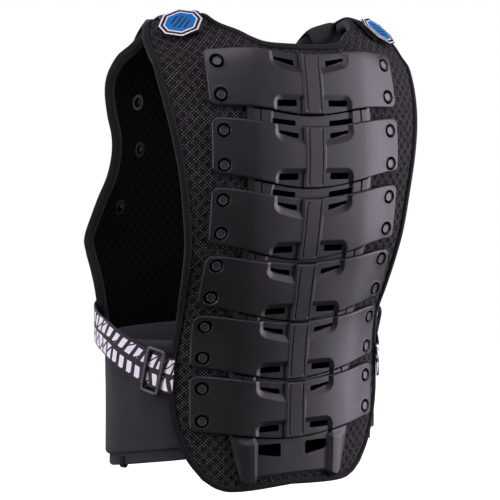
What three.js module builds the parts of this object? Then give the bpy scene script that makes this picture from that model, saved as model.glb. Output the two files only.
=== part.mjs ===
// Roost deflector: a padded mesh vest with a jointed plastic back, shaped as it is worn.
// Millimetres, +X to the wearer's left, -Y to the front, +Z up, origin where the shoulders carry it.
import * as THREE from 'three';

// Turns a list of column names and rows of numbers into rows with named fields.
function table(names, ...rows) {
  return rows.map((row) => Object.fromEntries(names.map((name, k) => [name, row[k]])));
}

// Driving dimensions
const FIT_GAP = 0.4;              // clearance between pieces that lie on each other
const PAD_THICK = 8;              // padded mesh of the front and back panels
const BIND_WIDE = 7.3;            // binding sewn round each panel
const BIND_PROUD = 1;             // how far the binding stands over the mesh
const BIND_INSET = BIND_WIDE + 0.6;
const BIND_ROUND = 0.3;           // share of its width that its outer edge rounds off
const MITRE_LEAST = 0.6;          // keeps an inset from running off at sharp corners
const FORM_REACH = 130;           // distance from the spine at which sag and drop are given
const SAG_POWER = 2.6;            // how late the torso rounds off to the sides
const DROP_POWER = 2;

// Back of the torso: outer face of the panel along the spine, with its sag to the sides.
// run is the height measured along the cloth, equal to z below the shoulder.
const BACK_FORM = table(
  ['run', 'y', 'z', 'sag', 'drop'],
  [-510, 72, -510, 36, 0],
  [-440, 73, -440, 34, 0],
  [-410, 73.5, -410, 34.5, 0],
  [-380, 75, -380, 36.5, 0],
  [-350, 78, -350, 38.5, 0],
  [-320, 82.5, -320, 37.5, 0],
  [-290, 89, -290, 28, 0],
  [-260, 95.5, -260, 19.5, 0],
  [-230, 103, -230, 16, 0],
  [-190, 110, -190, 16.5, 0],
  [-145, 113.5, -145, 16.5, 0],
  [-100, 110, -100, 17, 0],
  [-50, 102.5, -50, 24, 0],
  [-28, 94.5, -28, 28.8, 4.7],
  [-5, 72, -7, 25.5, 8.3],
  [18, 54, 9.5, 27, 12.3],
  [37, 40, 10, 34, 12.6],
  [60, 27, 6.5, 43, 13.8],
);

// Front of the torso, sagging back to the sides.
const FRONT_FORM = table(
  ['run', 'y', 'z', 'sag', 'drop'],
  [-380, -142, -380, 34, 0],
  [-340, -142, -340, 34, 0],
  [-294, -142, -294, 32, 0],
  [-271, -141.5, -271, 27.5, 0],
  [-251, -141, -251, 22, 0],
  [-234, -140.5, -234, 20.5, 0],
  [-215, -140, -215, 25, 0],
  [-192, -139, -192, 32, 0],
  [-169, -138, -169, 41, 0],
  [-143, -136, -143, 46, 0],
  [-121, -133, -121, 44, 0],
  [-101, -129, -101, 37, 0],
  [-71, -120, -71, 29, 0],
  [-45, -104, -45, 27, 0],
  [-15, -72, -21, 22, -7],
  [10, -44, -6, 20, -7],
);

// Half outlines of the panels with their binding, from the tail corner up and over.
const BACK_SIDE = table(
  ['x', 'run'],
  [99.5, -486.5], [114, -466], [124.4, -440], [130.7, -410], [131.3, -380], [129.3, -350],
  [127, -320], [129.3, -290], [131.3, -260], [134.1, -230], [142, -170], [150.5, -120],
  [157.6, -70], [158.5, -28], [156, -5], [148, 18], [137, 37], [131, 56],
);
const BACK_TOP = table(
  ['x', 'run'],
  [131, 56], [110, 58], [92, 56], [89, 36], [86, 14], [80, 2], [65, -9], [53, -19], [38, -24.5], [0, -26.5],
);
const BACK_TAIL = table(['x', 'run'], [99.5, -486.5], [84, -497], [62, -501], [0, -498]);
const FRONT_SIDE = table(
  ['x', 'run'],
  [118, -365], [142, -350], [153, -331], [160, -294], [165.5, -251], [166, -234], [156, -192],
  [146, -160], [143, -130], [148, -100], [151, -71], [150, -52], [142, -36],
  [129, -25], [122, -14], [119, -1],
);
const FRONT_TOP = table(
  ['x', 'run'],
  [119, -1], [104, 2], [88, -1], [84, -20], [79, -40], [69, -61], [50, -75], [25, -82], [0, -84],
);
const FRONT_HEM = table(['x', 'run'], [118, -365], [90, -374], [55, -378], [0, -379]);
const PANEL_ROWS = 16;
const PANEL_COLUMNS = 18;

// Back plates, from the neck down: edge heights near the rivets and on the rib, rivet heights, and
// how sharply the edges dip towards the rib.
const PLATES = table(
  ['top', 'bottom', 'rib_top', 'rib_bottom', 'rivet_up', 'rivet_low', 'bend'],
  [-33.5, -93, -39.5, -101.4, -48, -82, 5],
  [-104, -161, -113.7, -176, -117.7, -152.2, 2.3],
  [-174.6, -233, -187, -251, -187.6, -221.7, 2.3],
  [-244.5, -298, -255, -317, -254.8, -288.4, 2.3],
  [-308, -365.5, -319, -380.8, -320.6, -354.7, 2.3],
  [-373.7, -434, -384, -445, -387.7, -422.2, 2.3],
);
const PLATE_HALF = 112.2;
const PLATE_CORNER = 8;
const PLATE_THICK = 3;
const PLATE_SEAT = 5.4;            // underside over the panel, where it rides on the core
const FLANGE_SEAT = 1.5;           // underside over the panel, at the rivets
const CREASE_IN = 75;
const CREASE_OUT = 95;
const RIB_HALF = 12;
const RIB_PROUD = 2;
const WINDOW_HALF = 48;
const WINDOW_DEEP = 1.8;          // how far a window's floor lies under the plate's face
const WINDOW_LOW = 18.5;          // height of the windows at the plate's lower edge
const WINDOW_HIGH = 17;           // height of the windows at its upper edge
const WINDOW_SHOULDER = 8;        // plain stretch beside a window, before the crease
const WALL_DRAFT = 1.5;
const RIVET_OUT = 100;
const RIVET_RADIUS = 6;
const RIVET_HIGH = 2.4;
const RIVET_FACE = 0.75;          // share of its radius that is flat on top
const RIVET_SIDES = 8;

// Under-strip: a flat floor between two side ribs, with two large holes in its tail.
const CORE_TOP = -47;
const CORE_FLOOR = 2.2;
const CORE_RIB = 4.4;
const CORE_UNDER = 1;
const CORE_HALF = 74;
const CORE_TAIL = table(
  ['x', 'end'],
  [17, -486], [40, -486.5], [46, -487], [50, -489.5], [70, -487.5], [CORE_HALF, -475],
);
const TAIL_TAPER = 0.62;          // width left of the side ribs at the tail's end
const TAIL_START = -434;
const TAIL_HOLE = { top: -452, bottom: -464, inner: 17, outer: 40 };
const CORE_RIB_INNER = 50;
const CORE_LEVELS = 13;

// Chest plate on the hidden front, with the rivets that show from inside.
const CHEST_OUTLINE = table(
  ['run', 'half'],
  [-300, 55], [-285, 95], [-245, 128], [-201, 134], [-137, 113], [-84, 116], [-66, 98],
);
const CHEST_NECK_DIP = 32;
const CHEST_LIFT = 1.9;           // how far its underside lies over the panel
const CHEST_THICK = 3;
const CHEST_RIDGE = 4;            // extra height along its middle
const CHEST_RIVETS = table(['x', 'run', 'sink'], [104, -84, 1.1], [100, -137, 0], [123, -201, 0]);

// Shoulder straps: rows on the back panel, then rows on the front panel.
const STRAP_BACK = table(
  ['run', 'x', 'half'],
  [-14, 118, 12], [-6, 117.5, 17], [8, 115, 19], [28, 111, 19], [45, 109, 18.5], [59.5, 107.5, 17.5],
);
const STRAP_FRONT = table(
  ['run', 'x', 'half'],
  [5, 104.5, 17.5], [-12, 104, 17.5], [-27, 104, 17.5], [-42, 104.5, 16],
);
const STRAP_THICK = 3.5;
const STRAP_LIFT = BIND_PROUD + 2 * FIT_GAP;
const STRAP_PAD = 17;             // how far its padding hangs between the two panels
const STRAP_ARCH = 2;
const STRAP_SPAN = table(['at', 'part'], [0.18, 0.82], [0.5, 1], [0.82, 0.82]);
const STRAP_STEPS = 18;
const STRAP_LANES = 4;
const BADGE = { x: 119.5, run: -1.5, long: 45, wide: 40, cut: 13, thick: 3, bevel: 1, turn: 0.17 };

// Waist belt: half of its outer line seen from above, from the spine round to the front.
const BELT_LINE = table(
  ['x', 'y'],
  [0, 64.5], [60, 59.5], [105, 42.5], [131, 25.5], [153, 2], [165, -30], [158, -64],
  [128, -98], [75, -121], [0, -128],
);
const BELT_TOP = -338.5;
const BELT_BOTTOM = -469;
const BELT_RISE = 0.19;          // how steeply the lower edges rise towards the spine
const BELT_RISE_FROM = -45;
const BELT_THICK = 4;
const FLAP_TOP = -415;
const FLAP_BOTTOM = -482;
const FLAP_THICK = 2.5;
const BELT_STEPS = 44;
const LOOP = { wide: 7, thick: 1.4, high: 12.5, leg: 9, step: 10 };

// Side straps: centre line of the left one, from the back panel's binding to the front panel.
const SIDE_STRAP = table(
  ['x', 'y', 'z'],
  [127.5, 44.5, -374.5], [131.5, 41.8, -374], [137, 33.5, -371.5], [146, 18, -367], [154.5, 4, -360],
  [163.5, -12, -351], [168.5, -32, -341], [168, -60, -333], [159.3, -88, -327], [142.2, -106.6, -320],
);
const SIDE_STRAP_HIGH = 38;
const SIDE_STRAP_MIDDLE = -30;    // y that the strap bends round, seen from above
const SIDE_STRAP_THICK = 1.6;
const SIDE_STRAP_STEPS = 22;
const SLIDER = { left: 0.145, right: 0.5, long: 26, high: 52, bar: 5.4, thick: 3.4, corner: 3 };

// Finishes
const FINISH = {
  mesh: { color: 0x17161a, roughness: 0.9, metalness: 0 },
  binding: { color: 0x2a282b, roughness: 0.75, metalness: 0 },
  plate: { color: 0x2c2b2f, roughness: 0.45, metalness: 0 },
  core: { color: 0x29282b, roughness: 0.5, metalness: 0 },
  rivet: { color: 0x333236, roughness: 0.35, metalness: 0 },
  badge: { color: 0x1b6fb4, roughness: 0.4, metalness: 0 },
  elastic: { color: 0x1d1c1f, roughness: 0.85, metalness: 0 },
  belt: { color: 0x3a373d, roughness: 0.85, metalness: 0 },
  slider: { color: 0x222124, roughness: 0.4, metalness: 0 },
};

// Smooth value of one column at a place along another, by cubic pieces through the rows.
function sample(rows, along, at, name) {
  const last = rows.length - 1;
  const place = Math.min(Math.max(at, rows[0][along]), rows[last][along]);
  let k = 0;
  while (k < last - 1 && place > rows[k + 1][along]) k += 1;
  const slope = (a, b) => (rows[b][name] - rows[a][name]) / (rows[b][along] - rows[a][along]);
  const tangent = (m) => slope(Math.max(m - 1, 0), Math.min(m + 1, last));
  const step = rows[k + 1][along] - rows[k][along];
  const t = (place - rows[k][along]) / step;
  const rise = rows[k + 1][name] - rows[k][name];
  const bend = (1 - t) * (tangent(k) * step - rise) - t * (tangent(k + 1) * step - rise);
  return rows[k][name] + t * rise + t * (1 - t) * bend;
}

// One side of the torso as a surface over the distance from the spine and the run.
class TorsoForm {
  constructor(rows, facing) {
    this.rows = rows;
    this.facing = facing;
  }

  point(x, run) {
    const reach = Math.abs(x) / FORM_REACH;
    const sag = sample(this.rows, 'run', run, 'sag') * reach ** SAG_POWER;
    const drop = sample(this.rows, 'run', run, 'drop') * reach ** DROP_POWER;
    const y = sample(this.rows, 'run', run, 'y') - this.facing * sag;
    return new THREE.Vector3(x, y, sample(this.rows, 'run', run, 'z') - drop);
  }

  normal(x, run) {
    const across = this.point(x + 1, run).sub(this.point(x - 1, run));
    const along = this.point(x, run + 1).sub(this.point(x, run - 1));
    return across.cross(along).multiplyScalar(-this.facing).normalize();
  }

  lifted(x, run, lift) {
    return this.point(x, run).addScaledVector(this.normal(x, run), lift);
  }
}

// Closed geometry from points and quads, turned so that its faces point out.
function closedGeometry(points, quads) {
  const triangles = quads.flatMap(([a, b, c, d]) => [[a, b, c], [a, c, d]]);
  const volume = triangles.reduce((sum, [a, b, c]) => {
    const normal = new THREE.Vector3().crossVectors(points[b], points[c]);
    return sum + points[a].dot(normal);
  }, 0);
  const outward = volume > 0 ? triangles : triangles.map(([a, b, c]) => [a, c, b]);
  const geometry = new THREE.BufferGeometry().setFromPoints(points);
  geometry.setIndex(outward.flat());
  geometry.computeVertexNormals();
  return geometry;
}

// Solid sheet over a grid of cells, each grid point having an outer and an inner place.
function sheetSolid(columns, rows, placeAt, isHole = () => false, closedRound = false) {
  const count = closedRound ? columns : columns + 1;
  const points = [];
  for (let i = 0; i < count; i += 1) {
    for (let j = 0; j <= rows; j += 1) {
      const place = placeAt(i, j);
      points.push(place.outer, place.inner);
    }
  }
  const index = (i, j, side) => ((i % count) * (rows + 1) + j) * 2 + side;
  const solidAt = (i, j) => {
    const column = closedRound ? (i + columns) % columns : i;
    const inside = column >= 0 && column < columns && j >= 0 && j < rows;
    return inside && !isHole(column, j);
  };
  const quads = [];
  const wall = (i0, j0, i1, j1) => {
    quads.push([index(i0, j0, 0), index(i1, j1, 0), index(i1, j1, 1), index(i0, j0, 1)]);
  };
  for (let i = 0; i < columns; i += 1) {
    for (let j = 0; j < rows; j += 1) {
      if (!solidAt(i, j)) continue;
      quads.push([index(i, j, 0), index(i + 1, j, 0), index(i + 1, j + 1, 0), index(i, j + 1, 0)]);
      quads.push([index(i, j, 1), index(i, j + 1, 1), index(i + 1, j + 1, 1), index(i + 1, j, 1)]);
      if (!solidAt(i - 1, j)) wall(i, j, i, j + 1);
      if (!solidAt(i + 1, j)) wall(i + 1, j + 1, i + 1, j);
      if (!solidAt(i, j - 1)) wall(i + 1, j, i, j);
      if (!solidAt(i, j + 1)) wall(i, j + 1, i + 1, j + 1);
    }
  }
  return closedGeometry(points, quads);
}

// Closed ring from sections that all have the same number of points.
function ringSolid(sections) {
  const sides = sections[0].length;
  const index = (i, k) => (i % sections.length) * sides + (k % sides);
  const quads = [];
  sections.forEach((section, i) => {
    section.forEach((_, k) => {
      quads.push([index(i, k), index(i + 1, k), index(i + 1, k + 1), index(i, k + 1)]);
    });
  });
  return closedGeometry(sections.flat(), quads);
}

// Evenly spaced points of a smooth curve through table rows in the panel's own plane.
function flatCurve(rows, steps) {
  const knots = rows.map((row) => new THREE.Vector2(row.x, row.run));
  return new THREE.SplineCurve(knots).getSpacedPoints(steps);
}

const mirrored = (point) => new THREE.Vector2(-point.x, point.y);

// Whole outline from its half tables: left side up, top to the right, right side down, hem back.
function panelOutline(side, top, hem) {
  const left = flatCurve(side, PANEL_ROWS);
  const topHalf = flatCurve(top, PANEL_COLUMNS / 2);
  const hemHalf = flatCurve(hem, PANEL_COLUMNS / 2);
  const right = left.map(mirrored).reverse();
  const topFull = [...topHalf, ...topHalf.map(mirrored).reverse().slice(1)];
  const hemFull = [...hemHalf.map(mirrored), ...hemHalf.slice().reverse().slice(1)];
  return [...left.slice(0, -1), ...topFull.slice(0, -1), ...right.slice(0, -1), ...hemFull.slice(0, -1)];
}

// The outline moved inwards, square to its edges; it runs anticlockwise seen with x to the left.
function insetOutline(outline, inset) {
  const count = outline.length;
  return outline.map((point, k) => {
    const before = point.clone().sub(outline[(k + count - 1) % count]).normalize();
    const after = outline[(k + 1) % count].clone().sub(point).normalize();
    const along = before.clone().add(after).normalize();
    const inward = new THREE.Vector2(-along.y, along.x);
    const mitre = Math.max(along.dot(before), MITRE_LEAST);
    return point.clone().addScaledVector(inward, inset / mitre);
  });
}

// Place inside a four-sided outline, blended from its four edges.
function patchPoint(outline, i, j) {
  const lower = PANEL_ROWS + PANEL_COLUMNS;
  const whole = outline.length;
  const left = outline[j];
  const right = outline[lower + PANEL_ROWS - j];
  const top = outline[PANEL_ROWS + i];
  const hem = outline[(whole - i) % whole];
  const u = i / PANEL_COLUMNS;
  const v = j / PANEL_ROWS;
  const corners = [outline[0], outline[lower + PANEL_ROWS], outline[PANEL_ROWS], outline[lower]];
  const weights = [(1 - u) * (1 - v), u * (1 - v), (1 - u) * v, u * v];
  const point = left.clone().multiplyScalar(1 - u).addScaledVector(right, u);
  point.addScaledVector(hem, 1 - v).addScaledVector(top, v);
  corners.forEach((corner, k) => point.addScaledVector(corner, -weights[k]));
  return point;
}

function panelGeometry(form, outline) {
  const edge = insetOutline(outline, BIND_INSET);
  return sheetSolid(PANEL_COLUMNS, PANEL_ROWS, (i, j) => {
    const { x, y: run } = patchPoint(edge, i, j);
    return { outer: form.point(x, run), inner: form.lifted(x, run, -PAD_THICK) };
  });
}

// Binding: a rounded band folded over the panel's edge.
function bindingGeometry(form, outline) {
  const round = BIND_WIDE * BIND_ROUND;
  const under = -PAD_THICK - BIND_PROUD;
  const section = table(
    ['inset', 'lift'],
    [0, under + round], [0, BIND_PROUD - round], [round, BIND_PROUD],
    [BIND_WIDE, BIND_PROUD], [BIND_WIDE, under], [round, under],
  );
  const rings = section.map(({ inset, lift }) => (
    insetOutline(outline, inset).map(({ x, y: run }) => form.lifted(x, run, lift))
  ));
  return ringSolid(outline.map((_, k) => rings.map((ring) => ring[k])));
}

// Upper and lower edge of a plate at a distance from the spine, with rounded outer corners.
function plateEdges(plate, x) {
  const reach = Math.abs(x) / PLATE_HALF;
  const dip = Math.max(1 - reach * reach, 0) ** plate.bend;
  const past = Math.max(Math.abs(x) - PLATE_HALF + PLATE_CORNER, 0);
  const corner = PLATE_CORNER - Math.sqrt(PLATE_CORNER ** 2 - past ** 2);
  return {
    top: plate.top - (plate.top - plate.rib_top) * dip - corner,
    bottom: plate.bottom - (plate.bottom - plate.rib_bottom) * dip + corner,
  };
}

// Height of a plate's underside over the panel: on the core, then down to the flange.
function plateSeat(x) {
  return THREE.MathUtils.mapLinear(
    THREE.MathUtils.clamp(Math.abs(x), CREASE_IN, CREASE_OUT), CREASE_IN, CREASE_OUT, PLATE_SEAT, FLANGE_SEAT,
  );
}

function plateGeometry(form, plate) {
  const half = [
    PLATE_HALF, PLATE_HALF - PLATE_CORNER / 3, PLATE_HALF - PLATE_CORNER,
    CREASE_OUT, CREASE_IN, WINDOW_HALF + WINDOW_SHOULDER,
    WINDOW_HALF, WINDOW_HALF - WALL_DRAFT, RIB_HALF + 1, RIB_HALF,
  ];
  const stations = [...half.map((x) => -x), ...half.slice().reverse()];
  const windowRows = (edges) => [
    edges.bottom, edges.bottom + WINDOW_LOW - WALL_DRAFT, edges.bottom + WINDOW_LOW,
    edges.top - WINDOW_HIGH, edges.top - WINDOW_HIGH + WALL_DRAFT, edges.top,
  ];
  const lastRow = 5;
  return sheetSolid(stations.length - 1, lastRow, (i, j) => {
    const x = stations[i];
    const z = windowRows(plateEdges(plate, x))[j];
    const away = Math.abs(x);
    const inWindow = away < WINDOW_HALF && away > RIB_HALF && (j < 2 || j > 3);
    const rib = away <= RIB_HALF ? RIB_PROUD : 0;
    const seat = plateSeat(x);
    const face = seat + PLATE_THICK + rib - (inWindow ? WINDOW_DEEP : 0);
    return { outer: form.lifted(x, z, face), inner: form.lifted(x, z, seat) };
  });
}

// Under-strip with its recessed floor, side ribs and holed tail.
function coreGeometry(form) {
  const half = CORE_TAIL.map((row) => row.x);
  const stations = [...half.slice().reverse().map((x) => -x), ...half];
  const levels = Array.from({ length: CORE_LEVELS + 1 }, (_, k) => (
    THREE.MathUtils.lerp(CORE_TOP, TAIL_START, k / CORE_LEVELS)
  ));
  const rows = [...levels, TAIL_HOLE.top, TAIL_HOLE.bottom, 0];
  return sheetSolid(stations.length - 1, rows.length - 1, (i, j) => {
    const away = Math.abs(stations[i]);
    const end = CORE_TAIL.find((row) => row.x === away).end;
    const z = j === rows.length - 1 ? end : rows[j];
    const t = THREE.MathUtils.clamp((z - TAIL_START) / (end - TAIL_START), 0, 1);
    const taper = THREE.MathUtils.lerp(1, TAIL_TAPER, t);
    const wide = away > CORE_RIB_INNER ? CORE_RIB_INNER + (away - CORE_RIB_INNER) * taper : away;
    const x = Math.sign(stations[i]) * wide;
    const edge = away === CORE_HALF ? CORE_FLOOR : CORE_RIB;
    const face = away >= CORE_RIB_INNER ? edge : CORE_FLOOR;
    return { outer: form.lifted(x, z, face), inner: form.lifted(x, z, CORE_UNDER) };
  }, (i, j) => {
    const middle = Math.abs(stations[i] + stations[i + 1]) / 2;
    return rows[j] === TAIL_HOLE.top && middle > TAIL_HOLE.inner && middle < TAIL_HOLE.outer;
  });
}

function rivetGeometry() {
  const profile = [
    new THREE.Vector2(0, 0), new THREE.Vector2(RIVET_RADIUS, 0),
    new THREE.Vector2(RIVET_RADIUS, RIVET_HIGH / 2),
    new THREE.Vector2(RIVET_RADIUS * RIVET_FACE, RIVET_HIGH), new THREE.Vector2(0, RIVET_HIGH),
  ];
  return new THREE.LatheGeometry(profile, RIVET_SIDES);
}

// Plain shield on the front panel, its upper edge dipping with the neckline.
function chestGeometry(form) {
  const columns = 12;
  const first = CHEST_OUTLINE[0].run;
  const last = CHEST_OUTLINE[CHEST_OUTLINE.length - 1].run;
  const rows = 9;
  return sheetSolid(columns, rows, (i, j) => {
    const share = (2 * i) / columns - 1;
    const level = THREE.MathUtils.lerp(first, last, j / rows);
    const x = share * sample(CHEST_OUTLINE, 'run', level, 'half');
    const dip = CHEST_NECK_DIP * (1 - share ** 2) * (j / rows) ** 3;
    const ridge = CHEST_RIDGE * (1 - Math.abs(share)) ** 2;
    const inner = form.lifted(x, level - dip, CHEST_LIFT);
    return { outer: form.lifted(x, level - dip, CHEST_LIFT + CHEST_THICK + ridge), inner };
  });
}

// Tab over one shoulder: lies on the back panel, crosses the crest and lies on the front panel.
function shoulderStrapGeometry(side, back, front) {
  const lane = (lean, lift, hang) => {
    const at = (form) => (row) => form.lifted(side * (row.x + lean * row.half), row.run, lift);
    const behind = STRAP_BACK.map(at(back));
    const ahead = STRAP_FRONT.map(at(front));
    const between = STRAP_SPAN.map(({ at: share, part }) => {
      const place = behind[behind.length - 1].clone().lerp(ahead[0], share);
      return place.setZ(place.z - hang * part);
    });
    const knots = [...behind, ...between, ...ahead];
    return new THREE.CatmullRomCurve3(knots, false, 'centripetal').getPoints(STRAP_STEPS);
  };
  const lanes = Array.from({ length: STRAP_LANES + 1 }, (_, k) => {
    const share = (2 * k) / STRAP_LANES - 1;
    const outer = lane(share, STRAP_LIFT + STRAP_THICK, -STRAP_ARCH);
    return { inner: lane(share, STRAP_LIFT, STRAP_PAD), outer };
  });
  return sheetSolid(STRAP_STEPS, STRAP_LANES, (i, j) => (
    { outer: lanes[j].outer[i], inner: lanes[j].inner[i] }
  ));
}

// Long octagon with bevelled rims.
function badgeGeometry() {
  const { long, wide, cut, thick, bevel } = BADGE;
  const a = long / 2 - bevel;
  const b = wide / 2 - bevel;
  const shape = new THREE.Shape();
  shape.moveTo(a, b - cut);
  shape.lineTo(a - cut, b);
  shape.lineTo(cut - a, b);
  shape.lineTo(-a, b - cut);
  shape.lineTo(-a, cut - b);
  shape.lineTo(cut - a, -b);
  shape.lineTo(a - cut, -b);
  shape.lineTo(a, cut - b);
  const settings = {
    depth: thick - bevel, bevelThickness: bevel, bevelSize: bevel, bevelSegments: 1, curveSegments: 1,
  };
  const geometry = new THREE.ExtrudeGeometry(shape, settings);
  return geometry.translate(0, 0, bevel);
}

// Points of the belt's outer line, moved inwards by a given distance.
function beltLine(inset) {
  const half = BELT_LINE.map(({ x, y }) => new THREE.Vector3(x, y, 0));
  const other = half.slice(1, -1).reverse().map((p) => new THREE.Vector3(-p.x, p.y, 0));
  const curve = new THREE.CatmullRomCurve3([...half, ...other], true, 'centripetal');
  return Array.from({ length: BELT_STEPS }, (_, k) => {
    const share = k / BELT_STEPS;
    const along = curve.getTangentAt(share);
    const inward = new THREE.Vector3(along.y, -along.x, 0);
    const point = curve.getPointAt(share);
    const towards = inward.dot(point) < 0 ? 1 : -1;
    return point.addScaledVector(inward, towards * inset);
  });
}

// How far the lower edge lies above its lowest level, rising towards the spine.
function beltRise(y) {
  return BELT_RISE * Math.max(y - BELT_RISE_FROM, 0);
}

function beltGeometry(inset, thick, top, bottom) {
  const outer = beltLine(inset);
  const inner = beltLine(inset + thick);
  const atTop = ({ x, y }) => new THREE.Vector3(x, y, top);
  const atBottom = ({ x, y }) => new THREE.Vector3(x, y, bottom + beltRise(y));
  return ringSolid(outer.map((point, k) => (
    [atBottom(point), atTop(point), atTop(inner[k]), atBottom(inner[k])]
  )));
}

// Small band hooked round the flap's lower edge, seen from the end as a U.
function loopGeometry() {
  const { wide, thick, high, leg } = LOOP;
  const clear = FLAP_THICK + 6 * FIT_GAP;
  const shape = new THREE.Shape();
  shape.moveTo(0, 0);
  shape.lineTo(clear + 2 * thick, 0);
  shape.lineTo(clear + 2 * thick, leg);
  shape.lineTo(clear + thick, leg);
  shape.lineTo(clear + thick, thick);
  shape.lineTo(thick, thick);
  shape.lineTo(thick, high);
  shape.lineTo(0, high);
  const geometry = new THREE.ExtrudeGeometry(shape, { depth: wide, bevelEnabled: false });
  return geometry.translate(0, 0, -wide / 2);
}

// Frame of a strap at a share of its length: place, direction, outward side and upward side.
function sideStrapFrame(curve, share) {
  const place = curve.getPointAt(share);
  const along = curve.getTangentAt(share);
  const out = new THREE.Vector3(-along.y, along.x, 0).normalize();
  if (out.dot(new THREE.Vector3(place.x, place.y - SIDE_STRAP_MIDDLE, 0)) < 0) out.negate();
  const up = new THREE.Vector3().crossVectors(along, out).normalize();
  if (up.z < 0) up.negate();
  return { place, along, out, up };
}

function sideStrapCurve(side) {
  const knots = SIDE_STRAP.map(({ x, y, z }) => new THREE.Vector3(side * x, y, z));
  return new THREE.CatmullRomCurve3(knots, false, 'centripetal');
}

function sideStrapGeometry(side) {
  const curve = sideStrapCurve(side);
  return sheetSolid(SIDE_STRAP_STEPS, 1, (i, j) => {
    const { place, out, up } = sideStrapFrame(curve, i / SIDE_STRAP_STEPS);
    const middle = place.clone().addScaledVector(up, (j - 0.5) * SIDE_STRAP_HIGH);
    const reach = SIDE_STRAP_THICK / 2;
    const outer = middle.clone().addScaledVector(out, reach);
    return { outer, inner: middle.addScaledVector(out, -reach) };
  });
}

function roundedRectangle(path, wide, high, radius) {
  const a = wide / 2;
  const b = high / 2;
  path.moveTo(radius - a, -b);
  path.lineTo(a - radius, -b);
  path.quadraticCurveTo(a, -b, a, radius - b);
  path.lineTo(a, b - radius);
  path.quadraticCurveTo(a, b, a - radius, b);
  path.lineTo(radius - a, b);
  path.quadraticCurveTo(-a, b, -a, b - radius);
  path.lineTo(-a, radius - b);
  path.quadraticCurveTo(-a, -b, radius - a, -b);
  return path;
}

function sliderGeometry() {
  const { long, high, bar, thick, corner } = SLIDER;
  const shape = roundedRectangle(new THREE.Shape(), long, high, corner);
  shape.holes.push(roundedRectangle(new THREE.Path(), long - 2 * bar, high - 2 * bar, corner / 2));
  return new THREE.ExtrudeGeometry(shape, { depth: thick, bevelEnabled: false, curveSegments: 2 });
}

// Assembly
const vest = new THREE.Group();

function addPiece(name, geometry, finish) {
  const mesh = new THREE.Mesh(geometry, new THREE.MeshStandardMaterial(FINISH[finish]));
  mesh.name = name;
  vest.add(mesh);
  return mesh;
}

// Turns a piece so that its own x, y and z follow three given directions at a place.
function placePiece(mesh, place, xAxis, yAxis, zAxis) {
  mesh.quaternion.setFromRotationMatrix(new THREE.Matrix4().makeBasis(xAxis, yAxis, zAxis));
  mesh.position.copy(place);
}

function addRivet(name, form, x, run, lift) {
  const rivet = addPiece(name, rivetGeometry(), 'rivet');
  rivet.quaternion.setFromUnitVectors(new THREE.Vector3(0, 1, 0), form.normal(x, run));
  rivet.position.copy(form.lifted(x, run, lift));
}

const SIDES = [['left', 1], ['right', -1]];
const back = new TorsoForm(BACK_FORM, 1);
const front = new TorsoForm(FRONT_FORM, -1);
const backOutline = panelOutline(BACK_SIDE, BACK_TOP, BACK_TAIL);
const frontOutline = panelOutline(FRONT_SIDE, FRONT_TOP, FRONT_HEM);

addPiece('back_panel', panelGeometry(back, backOutline), 'mesh');
addPiece('back_binding', bindingGeometry(back, backOutline), 'binding');
addPiece('spine_core', coreGeometry(back), 'core');
PLATES.forEach((plate, k) => {
  addPiece(`plate_${k + 1}`, plateGeometry(back, plate), 'plate');
  const lift = FLANGE_SEAT + PLATE_THICK + 1.5 * FIT_GAP;
  SIDES.forEach(([name, side]) => {
    addRivet(`rivet_${k + 1}_${name}_up`, back, side * RIVET_OUT, plate.rivet_up, lift);
    addRivet(`rivet_${k + 1}_${name}_low`, back, side * RIVET_OUT, plate.rivet_low, lift);
  });
});

addPiece('front_panel', panelGeometry(front, frontOutline), 'mesh');
addPiece('front_binding', bindingGeometry(front, frontOutline), 'binding');
addPiece('chest_plate', chestGeometry(front), 'plate');
CHEST_RIVETS.forEach(({ x, run, sink }, k) => {
  const lift = CHEST_LIFT + CHEST_THICK + FIT_GAP - sink;
  SIDES.forEach(([name, side]) => {
    addRivet(`chest_rivet_${k + 1}_${name}`, front, side * x, run, lift);
  });
});

SIDES.forEach(([name, side]) => {
  addPiece(`shoulder_strap_${name}`, shoulderStrapGeometry(side, back, front), 'elastic');
  const badge = addPiece(`shoulder_badge_${name}`, badgeGeometry(), 'badge');
  const out = back.normal(side * BADGE.x, BADGE.run);
  const place = back.lifted(side * BADGE.x, BADGE.run, STRAP_LIFT + STRAP_THICK + FIT_GAP);
  const across = new THREE.Vector3(side, 0, 0).projectOnPlane(out).normalize();
  across.applyAxisAngle(out, side * BADGE.turn);
  placePiece(badge, place, across, new THREE.Vector3().crossVectors(out, across), out);

  addPiece(`side_strap_${name}`, sideStrapGeometry(side), 'elastic');
  const slider = addPiece(`strap_slider_${name}`, sliderGeometry(), 'slider');
  const frame = sideStrapFrame(sideStrapCurve(side), SLIDER[name]);
  const seat = frame.place.clone().addScaledVector(frame.out, SIDE_STRAP_THICK / 2 + 2 * FIT_GAP);
  placePiece(slider, seat, new THREE.Vector3().crossVectors(frame.up, frame.out), frame.up, frame.out);
});

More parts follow.
